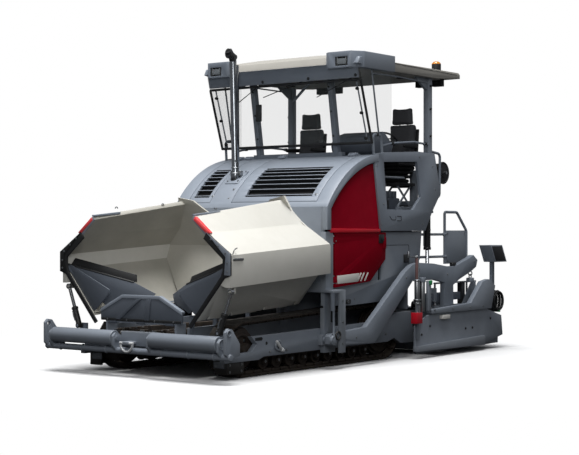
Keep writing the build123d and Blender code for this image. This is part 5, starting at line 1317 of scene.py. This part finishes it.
# ---------------------------------------------------------------- roof, posts and glass
@dataclass
class Canopy:
    """Roof shell with lamp corners and fascia, posts, windscreen, wipers and beacon."""

    half: float = 1.215
    rear_lamps: tuple[float, ...] = (-0.95, -0.7, 0.7, 0.95)
    wipers: tuple[Point, ...] = ((-0.283, -0.709, 3.267), (0.434, -0.157, 3.35), (1.143, 0.676, 3.324))
    post_foot_z: float = 2.562
    post_top_z: float = 3.6
    screen_height: float = 0.80
    screen_half: float = 1.187

    def build(self) -> None:
        """Make the roof and what stands under it."""
        self._roof()
        self._posts()
        self._screen()
        beacon = softened("beacon", (AMBER_LENS, PLASTIC_BLACK), 0.008)
        beacon.repaint(PLASTIC_BLACK, (-1.8, 0.9, 3.6), (-1.6, 1.1, 3.806))
        beacon.finish()

    def _roof(self) -> None:
        """Pale shell with its blue-grey fascia and lamp corners, side seams and rear lamps."""
        roof = softened("canopy_roof",
                        (ENAMEL_STONE, ENAMEL_BLUE_GREY, DARK_INSIDE, LAMP_GLASS, ZINC, BELT_RUBBER), 0.006)
        roof.repaint(ENAMEL_BLUE_GREY, (0.3, -1.18, 3.4), (0.46, 1.18, 3.655))
        for _, side in SIDES:
            self._corner(roof, side)
            low, high = side * (self.half - 0.001), side * (self.half + 0.003)
            roof.plate([(-0.357, 3.70), (-0.357, 3.705), (-1.86, 3.688), (-1.86, 3.683)], Axis.Y, low, high,
                       0, DARK_INSIDE)
        roof.repaint(BELT_RUBBER, (-1.88, -1.1, 3.53), (-1.75, 1.1, 3.638))
        for y in self.rear_lamps:
            roof.block((-1.872, y - 0.06, 3.558), (-1.858, y + 0.06, 3.627), 0.003, LAMP_GLASS)
        for x in (-0.4, -1.0):
            for y in (-0.9, 0.9):
                roof.block((x - 0.05, y - 0.05, 3.585), (x + 0.05, y + 0.05, 3.605), 0.01, BELT_RUBBER)
        roof.finish()

    def _corner(self, roof: Shape, side: int) -> None:
        """Colours of one wrap-round lamp corner, and the lamp in its recess."""
        low, high = span(side, 0.735, 1.24)
        roof.repaint(ENAMEL_BLUE_GREY, (-0.335, low, 3.58), (0.5, high, 3.80))
        edge = span(side, 1.1, 1.24)
        roof.repaint(ENAMEL_BLUE_GREY, (0.26, edge[0], 3.4), (0.56, edge[1], 3.80))
        roof.repaint(ENAMEL_BLUE_GREY, (-0.35, low, 3.58), (-0.335, high, 3.80), (-1, 0, 0))
        # painted shade on the back of the lamp recess
        low, high = span(side, 0.895, 1.085)
        roof.repaint(DARK_INSIDE, (0.46, low, 3.61), (0.478, high, 3.73))
        roof.block((0.466, side * 0.93, 3.635), (0.474, side * 1.05, 3.705), 0.002, LAMP_GLASS)
        for y in (0.925, 1.055):
            roof.block((0.465, side * y - 0.006, 3.62), (0.478, side * y + 0.006, 3.72), 0.002, ZINC)

    def _posts(self) -> None:
        """Posts with gussets, clips, side rails, strut and mirror."""
        posts = softened("canopy_posts", (ENAMEL_BLUE_GREY, ENAMEL_BLACK, BELT_RUBBER, ZINC, LAMP_GLASS),
                         0.006)
        for _, side in SIDES:
            y = side * 1.108
            posts.plate([(-1.27, 3.60), (-1.27, 3.45), (-1.24, 3.45), (-1.0, 3.585), (-1.0, 3.60)], Axis.Y,
                        y - 0.02, y + 0.02, 0.003)
            for z in (2.45, 2.85, 3.2, 3.5):
                posts.rod((-1.30, y + side * 0.042, z), (-1.30, y + side * 0.062, z), 0.016, segments=12,
                          bevel=0.003, finish=BELT_RUBBER)
            for z in (2.8, 3.1, 3.4):
                share = (z - self.post_foot_z) / (self.post_top_z - self.post_foot_z)
                posts.rod((0.045 + share * 0.17, side * 0.60, z),
                          (0.065 + share * 0.17, side * 0.60, z + 0.01), 0.016, segments=12, bevel=0.003,
                          finish=BELT_RUBBER)
            posts.pipe([(0.084, side * 1.17, 3.545), (-0.5, side * 1.17, 3.552),
                        (-1.27, side * 1.13, 3.54)], 0.010, 0.03)
        # strut under the roof, and the mirror beside the right front post
        posts.rod((-0.2, -0.242, 3.30), (-0.2, 0.089, 3.59), 0.018, segments=12)
        posts.rod((0.10, -0.60, 3.12), (0.2, -0.49, 3.16), 0.008, segments=10, finish=ENAMEL_BLACK)
        posts.block((0.185, -0.55, 3.02), (0.21, -0.46, 3.24), 0.01, ENAMEL_BLACK)
        posts.finish()

    def _screen(self) -> None:
        """Glass, edge bars of the windscreen, inner tubes with their knobs, and the wipers."""
        dress("canopy_glass", GLASS)
        lean = Vector((0.252, 0, 0.77)).normalized()
        foot = Vector((0.108, 0, 2.69))
        trim = Shape("windscreen_trim", "tractor", (ENAMEL_BLACK, BELT_RUBBER, ENAMEL_BLUE_GREY))
        trim.block((0.096, -1.19, 2.68), (0.128, 1.19, 2.712), 0.004)
        top = foot + lean * self.screen_height
        edge = Vector((0, self.screen_half, 0))
        trim.rod(top - edge, top + edge, 0.016, segments=10)
        for side in (-1, 1):
            base = foot + edge * side
            trim.rod(base, base + lean * self.screen_height, 0.016, segments=10)
            inner = base + Vector((-0.02, -side * 0.075, 0))
            trim.rod(inner, inner + lean * self.screen_height, 0.010, segments=10, finish=ENAMEL_BLUE_GREY)
            for share in (0.08, 0.48, 0.86):
                spot = inner + lean * self.screen_height * share
                trim.rod(spot, spot + Vector((0.035, 0, 0)), 0.019, segments=12, bevel=0.003,
                         finish=BELT_RUBBER)
        for hub_y, tip_y, tip_z in self.wipers:
            hub, tip = Vector((0.385, hub_y, 3.50)), Vector((0.355, tip_y, tip_z))
            trim.rod(hub - Vector((0.03, 0, 0)), hub + Vector((0.02, 0, 0)), 0.02, segments=14, bevel=0.004)
            trim.rod(hub, tip, 0.007, 0.004, segments=8)
            blade = (tip - hub).normalized()
            trim.rod(tip - blade * 0.16, tip + blade * 0.16, 0.006, segments=8, finish=BELT_RUBBER)
        trim.finish()


# ---------------------------------------------------------------- tow gear and lift
@dataclass
class TowGear:
    """Tow point columns, tow arms and the screed's lift cylinders."""

    arm_y: float = 1.262
    column_y: float = 1.30
    pivot: Point = (1.05, 1.299, 0.345)
    arm_bolts: tuple[Point, ...] = ((0.90, 0.37), (0.55, 0.35), (-0.55, 1.03), (-0.85, 1.12), (-1.55, 1.05),
                                    (-2.25, 1.2))
    column_bolts: tuple[Point, ...] = ((0.89, 0.30), (0.89, 0.55), (0.89, 0.80))
    cylinder: Point = (-1.32, 1.092)

    def build(self) -> None:
        """Make columns, arms and cylinders."""
        columns = softened("tow_columns", (ENAMEL_BLUE_GREY, ZINC, CHROME, ENAMEL_BLACK, DARK_INSIDE))
        for _, side in SIDES:
            # hose bundle down the column's rear, and the cover of the arm's pivot
            columns.block((0.955, side * 1.20, 0.55), (1.0, side * 1.245, 0.895), 0.01, ENAMEL_BLACK)
            columns.rod((1.05, side * 1.262, 0.345), (1.05, side * 1.299, 0.345), 0.062, 0.058, segments=28,
                        bevel=0.006)
            columns.bolt_circle(side, self.pivot, 0.04, 6, 0.006)
            columns.ring((0.985, side * 1.302, 0.40), ACROSS, 0.045, 0.012, ENAMEL_BLACK)
            columns.side_bolts(side, self.column_y, self.column_bolts, 0.009)
        columns.finish()
        arms = softened("tow_arms", (ENAMEL_BLUE_GREY, ZINC, ENAMEL_BLACK), 0.006)
        for _, side in SIDES:
            arms.side_bolts(side, self.arm_y, self.arm_bolts, 0.009)
            # cable entry on the arm's top, and the shackle under its rear hook
            arms.block((-1.80, side * 1.20, 1.145), (-1.70, side * 1.25, 1.20), 0.01, ENAMEL_BLACK)
            arms.ring((-2.2, side * 1.226, 1.045), FORWARD, 0.028, 0.008, ZINC)
            arms.ring((-2.2, side * 1.226, 1.0), ACROSS, 0.028, 0.008, ZINC)
            arms.block((-2.255, side * 1.226 - 0.035, 0.925), (-2.145, side * 1.226 + 0.035, 0.985), 0.012)
        arms.finish()
        barrels = softened("lift_barrels", (ENAMEL_BLACK, ZINC, CHROME), 0.003)
        for _, side in SIDES:
            x, y = self.cylinder[0], side * self.cylinder[1]
            for low, high in ((1.37, 1.405), (1.86, 1.90)):
                barrels.rod((x, y, low), (x, y, high), 0.05, segments=28, bevel=0.005)
            barrels.pipe([(-1.275, y, 1.40), (-1.235, y, 1.42), (-1.235, y, 1.82), (-1.275, y, 1.85)],
                         0.008, 0.03, ZINC, 1)
        barrels.finish()
        softened("lift_rods", (CHROME, ZINC), 0.002).finish()


# ---------------------------------------------------------------- screed
@dataclass
class Screed:
    """Fixed screed with guide tubes, extending screeds with gates, and control stands."""

    gear_y: float = 1.148
    spindle: Point = (-0.66, 1.352)
    gate_y: float = 1.3
    gate_bolts: tuple[Point, ...] = ((-1.95, 0.32), (-2.13, 0.32), (-1.05, 0.40), (-2.62, 0.42),
                                     (-0.85, 0.30))
    tread_bolts: tuple[Point, ...] = ((-1.10, 0.60), (-1.55, 0.60), (-2.0, 0.60), (-2.35, 0.60))
    gear_bolts: tuple[Point, ...] = ((-1.3, 0.725), (-1.3, 0.775), (-1.95, 0.725), (-1.95, 0.775))
    coil: Point = (-2.985, 1.06, 0.64)
    coil_turns: int = 8

    def build(self) -> None:
        """Make all screed pieces."""
        main_screed = softened("screed_main", (ENAMEL_BLUE_GREY, CHROME, ZINC, ENAMEL_BLACK, PLASTIC_GREY))
        main_screed.repaint(CHROME, (-2.53, -1.2, 0.42), (-1.99, 1.2, 0.52))
        for number in range(9):
            y = -1.1 + number * 0.275
            main_screed.bolt((-1.312, y, 0.20), FORWARD, 0.012)
        for _, side in SIDES:
            self._tools(main_screed, side)
            self._gear(main_screed, side)
        main_screed.finish()
        for name, side in SIDES:
            self._extension(name, side)
            self._stand(name, side)

    def _tools(self, screed: Shape, side: int) -> None:
        """Vibrator drives and their carrier plate on the fixed screed's back."""
        for y in (0.35, 0.75):
            screed.rod((-1.66, side * (y - 0.09), 0.62), (-1.66, side * (y + 0.09), 0.62), 0.06,
                       segments=24, bevel=0.008, finish=ENAMEL_BLACK)
            screed.block((-1.72, side * y - 0.05, 0.55), (-1.60, side * y + 0.05, 0.60), 0.006)
        screed.block((-1.86, -1.0, 0.56), (-1.50, 1.0, 0.575), 0.002)

    def _gear(self, screed: Shape, side: int) -> None:
        """Colours and fittings of the levelling gear inside one tow arm."""
        y = side * self.gear_y
        reach = sorted((y - 0.045, y + 0.045))
        screed.repaint(CHROME, (-2.5, y - 0.0165, 0.645), (-1.38, y + 0.0165, 0.95))
        screed.repaint(PLASTIC_GREY, (-2.05, reach[0], 0.69), (-1.23, reach[1], 0.81))
        screed.repaint(ENAMEL_BLACK, (-2.14, reach[0], 0.65), (-2.05, reach[1], 0.935))
        screed.block((-1.42, y - 0.03, 0.69), (-1.36, y + 0.03, 0.87), 0.004)
        screed.block((-2.0, side * 1.03, 0.60), (-1.24, side * 1.05, 0.80), 0.004, PLASTIC_GREY)
        screed.plate([(-2.43, 0.61), (-2.02, 0.61), (-2.30, 0.93), (-2.42, 0.93)], Axis.Y, y + side * 0.028,
                     y + side * 0.04, 0.003)
        for x in (-1.42, -1.85, -2.24, -2.38):
            screed.rod((x, y, 0.64), (x, y, 0.66), 0.024, segments=18, bevel=0.002, finish=ZINC)
        screed.side_bolts(side, self.gear_y + 0.02, self.gear_bolts, 0.007)

    def _extension(self, name: str, side: int) -> None:
        """Extending screed with tread, gate bolts and a blank plate."""
        ext = softened(f"screed_extension_{name}",
                       (ENAMEL_BLUE_GREY, ZINC, ENAMEL_BLACK, ENAMEL_WHITE), 0.004)
        ext.block((-1.48, side * 1.3, 0.477), (-1.29, side * 1.347, 0.528), 0.001, ENAMEL_WHITE)
        ext.side_bolts(side, 1.345, self.tread_bolts, 0.01)
        ext.side_bolts(side, self.gate_y, self.gate_bolts, 0.012, ENAMEL_BLACK)
        for number in range(10):
            x = -3.13 + number * 0.022
            ext.block((x, side * 0.05, 0.434), (x + 0.008, side * 0.98, 0.438), 0)
        ext.finish()

    def _stand(self, name: str, side: int) -> None:
        """Crank spindle with clamp, and the tilted control box on its upright."""
        stand = softened(f"control_stand_{name}",
                         (ENAMEL_BLUE_GREY, CHROME, ZINC, ENAMEL_BRIGHT_AND_LIT_RED, PLASTIC_BLACK, OXIDE,
                          GREEN_BAND, BELT_RUBBER), 0.004)
        x, y = self.spindle[0], side * self.spindle[1]
        stand.repaint(ENAMEL_BRIGHT_AND_LIT_RED, (-0.8, -1.5, 0.45), (-0.59, 1.5, 0.6))
        stand.rod((x + 0.01, y, 1.0), (x + 0.01, y, 1.29), 0.0185, segments=18, bevel=0.002, finish=OXIDE)
        stand.rod((x - 0.028, y, 0.60), (x - 0.028, y, 1.27), 0.0115, segments=14, finish=CHROME)
        stand.rod((x, y, 0.70), (x, y, 1.0), 0.0355, segments=24, bevel=0.004, finish=ZINC)
        # second screw housing and the plug of its sensor beside it
        stand.rod((x - 0.125, y, 0.60), (x - 0.125, y, 1.02), 0.034, segments=24, bevel=0.004, finish=ZINC)
        stand.rod((x - 0.125, y, 0.97), (x - 0.125, y, 1.03), 0.043, segments=24, bevel=0.003,
                  finish=ENAMEL_BLUE_GREY)
        stand.block((x - 0.31, y - 0.02, 0.60), (x - 0.24, y + 0.02, 0.985), 0.006)
        stand.block((x - 0.30, y + side * 0.02, 0.93), (x - 0.25, y + side * 0.045, 0.99), 0.008,
                    GREEN_BAND)
        for z in (0.70, 0.74, 0.985):
            stand.rod((x, y, z), (x, y, z + 0.018), 0.048, segments=24, bevel=0.003, finish=ZINC)
        stand.rod((x, y, 1.28), (x + 0.03, y, 1.30), 0.02, segments=16, bevel=0.004, finish=ZINC)
        stand.rod((x + 0.02, y, 1.285), (x + 0.20, y, 1.30), 0.009, segments=10, finish=ZINC)
        stand.rod((x + 0.20, y, 1.285), (x + 0.20, y, 1.36), 0.014, segments=12, bevel=0.003, finish=ZINC)
        for edge in (-0.045, 0.045):
            stand.rod((x + edge, y + side * 0.01, 0.575), (x + edge, y + side * 0.01, 0.70), 0.009,
                      segments=10, finish=ZINC)
        # plain cover on the slanted box
        top = side * 1.322
        stand.plate([(-2.46, 1.405), (-2.735, 1.405), (-2.845, 1.205), (-2.575, 1.205)], Axis.Y,
                    top + side * 0.088, top + side * 0.0915, 0.002, PLASTIC_BLACK)
        stand.side_bolts(side, 1.322 + 0.02, ((-2.625, 1.0), (-2.625, 1.08), (-2.625, 1.16)), 0.008)
        if side > 0:
            self._coil(stand)
        stand.finish()

    def _coil(self, stand: Shape) -> None:
        """Spare cable in a coil, tied with a green band and hung on a hook."""
        x, y, z = self.coil
        for turn in range(self.coil_turns):
            stand.ring((x, y + turn * 0.024, z), ACROSS, 0.138 - turn % 2 * 0.012, 0.013, BELT_RUBBER,
                       segments=40, sides=8)
        stand.block((-3.02, 1.05, 0.485), (-2.98, 1.24, 0.525), 0.008, GREEN_BAND)
        stand.rod((-2.64, 1.30, 0.77), (-2.98, 1.05, 0.765), 0.011, segments=10)


@dataclass
class RearGuard:
    """Boarding guard behind the tractor: sheet plate, bent rail and its two braces."""

    y: float = 0.95
    front_x: float = -1.995
    rear_x: float = -2.573
    low_z: float = 1.17
    braces: tuple[float, ...] = (1.568, 1.27)

    def build(self) -> None:
        """Make the guard's sheet, the bent rail and the clamps of the braces."""
        guard = Shape("rear_guard_sheet", "tractor", (ENAMEL_BLUE_GREY, ENAMEL_BLACK, ZINC),
                      ("rear_guard",))
        y, front, rear, low = self.y, self.front_x, self.rear_x, self.low_z
        guard.plate([(front, low), (front, 1.62), (rear, 1.62), (rear, low)], Axis.Y,
                    y - 0.006, y + 0.006, 0.003)
        guard.pipe([(front, y, low), (front, y, 1.868), (-2.315, y, 1.868),
                    (rear, y, 1.617), (rear, y, low)], 0.019, 0.06)
        for z in self.braces:
            guard.rod((front, y, z), (-1.11, y, z), 0.017, segments=16)
            guard.rod((-1.135, y, z), (-1.11, y, z), 0.034, segments=20, bevel=0.003)
            guard.rod((front - 0.03, y, z), (front + 0.03, y, z), 0.024, segments=16, bevel=0.004)
        for x in (-2.06, -2.50):
            for z in (1.21, 1.58):
                guard.bolt((x, y + 0.006, z), ACROSS, 0.008)
        guard.finish()


# ---------------------------------------------------------------- augers and reel
@dataclass
class Augers:
    """Spreading augers with cast flights, and their middle gear case."""

    x: float = -1.11
    z: float = 0.395
    inner_y: float = 0.13
    outer_y: float = 1.0
    pitch: float = 0.29
    flight_length: float = 0.81
    blade: Point = (0.002, 0.012, 0.135)
    blade_middle: float = 0.1075
    steps_per_turn: int = 28

    def build(self) -> None:
        """Make both augers and the case."""
        case = softened("auger_case", (ENAMEL_BLUE_GREY, ZINC), 0.008)
        for side in (-1, 1):
            case.bolt_circle(side, (self.x, 0.112, self.z), 0.072, 6, 0.008)
        case.finish()
        for name, side in SIDES:
            auger = Shape(f"auger_{name}_screw", f"auger_{name}", (TRACK_STEEL,), (f"auger_{name}",))
            auger.rod((self.x, side * self.inner_y, self.z), (self.x, side * self.outer_y, self.z), 0.048,
                      segments=24, bevel=0.004)
            auger.rod((self.x, side * self.outer_y, self.z), (self.x, side * (self.outer_y + 0.07), self.z),
                      0.04, segments=20, bevel=0.004)
            self._flight(auger, side)
            auger.finish()

    def _flight(self, auger: Shape, side: int) -> None:
        """Wind the flight round the shaft by spinning the front face of a thin block."""
        before = set(auger.mesh.faces)
        turns = self.flight_length / self.pitch
        start = Vector((self.x, side * (self.inner_y + 0.02), self.z))
        middle = start + Vector((0, 0, self.blade_middle))
        place = Matrix.Translation(middle) @ Matrix.Diagonal((*self.blade, 1))
        blade = bmesh.ops.create_cube(auger.mesh, size=1.0, matrix=place)
        faces = {f for v in blade["verts"] for f in v.link_faces}
        front = next(f for f in faces if f.normal.x > 0.9)
        bmesh.ops.delete(auger.mesh, geom=[f for f in faces if f is not front], context="FACES")
        steps = int(turns * self.steps_per_turn)
        bmesh.ops.spin(auger.mesh, geom=[front, *front.edges, *front.verts], cent=start, axis=ACROSS,
                       dvec=(0, side * self.pitch * turns / steps, 0), angle=math.tau * turns * side,
                       steps=steps, use_merge=False)
        bmesh.ops.recalc_face_normals(auger.mesh, faces=[f for f in auger.mesh.faces if f not in before])


@dataclass
class HoseReel:
    """Reel with wound hose between two disc flanges, and its crank."""

    centre: Point = (-1.765, 0.96, 2.385)
    layers: tuple[float, ...] = (0.082, 0.1, 0.118)
    hose_pitch: float = 0.0205

    def build(self) -> None:
        """Make reel and bracket."""
        cx, cy, cz = self.centre
        reel = Shape("hose_reel_drum", "hose_reel", (PLASTIC_BLACK, BELT_RUBBER, ZINC), ("hose_reel",))
        reel.rod((cx, cy - 0.108, cz), (cx, cy + 0.108, cz), 0.07, segments=32, bevel=0.004)
        for side in (-1, 1):
            y = cy + side * 0.104
            reel.ring((cx, y, cz), ACROSS, 0.139, 0.011, PLASTIC_BLACK)
            reel.rod((cx, y - 0.004, cz), (cx, y + 0.004, cz), 0.14, segments=40, bevel=0.002)
            reel.rod((cx, y - 0.009, cz), (cx, y + 0.009, cz), 0.06, segments=32, bevel=0.003)
        for layer, radius in enumerate(self.layers):
            for number in range(9 - layer % 2):
                y = cy - 0.082 + number * self.hose_pitch + (layer % 2) * 0.01
                reel.ring((cx, y, cz), ACROSS, radius, 0.0102, BELT_RUBBER, segments=32, sides=8)
        reel.rod((cx, cy + 0.104, cz), (cx, cy + 0.16, cz), 0.02, segments=16, finish=ZINC)
        reel.finish()
        softened("reel_bracket", (ENAMEL_BLUE_GREY, ZINC), 0.004).finish()


def main() -> None:
    """Build the looks in order and report each piece."""
    logging.basicConfig(level=logging.INFO, format="%(name)s %(message)s")
    for part in (Studio(), Carrier(), Tracks(), PushGear(), Conveyor(), Hopper(), Hood(), BodySides(),
                 Platform(), Canopy(), TowGear(), Screed(), RearGuard(), Augers(), HoseReel()):
        part.build()
        LOG.info("%s made", type(part).__name__)


if __name__ == "__main__":
    main()
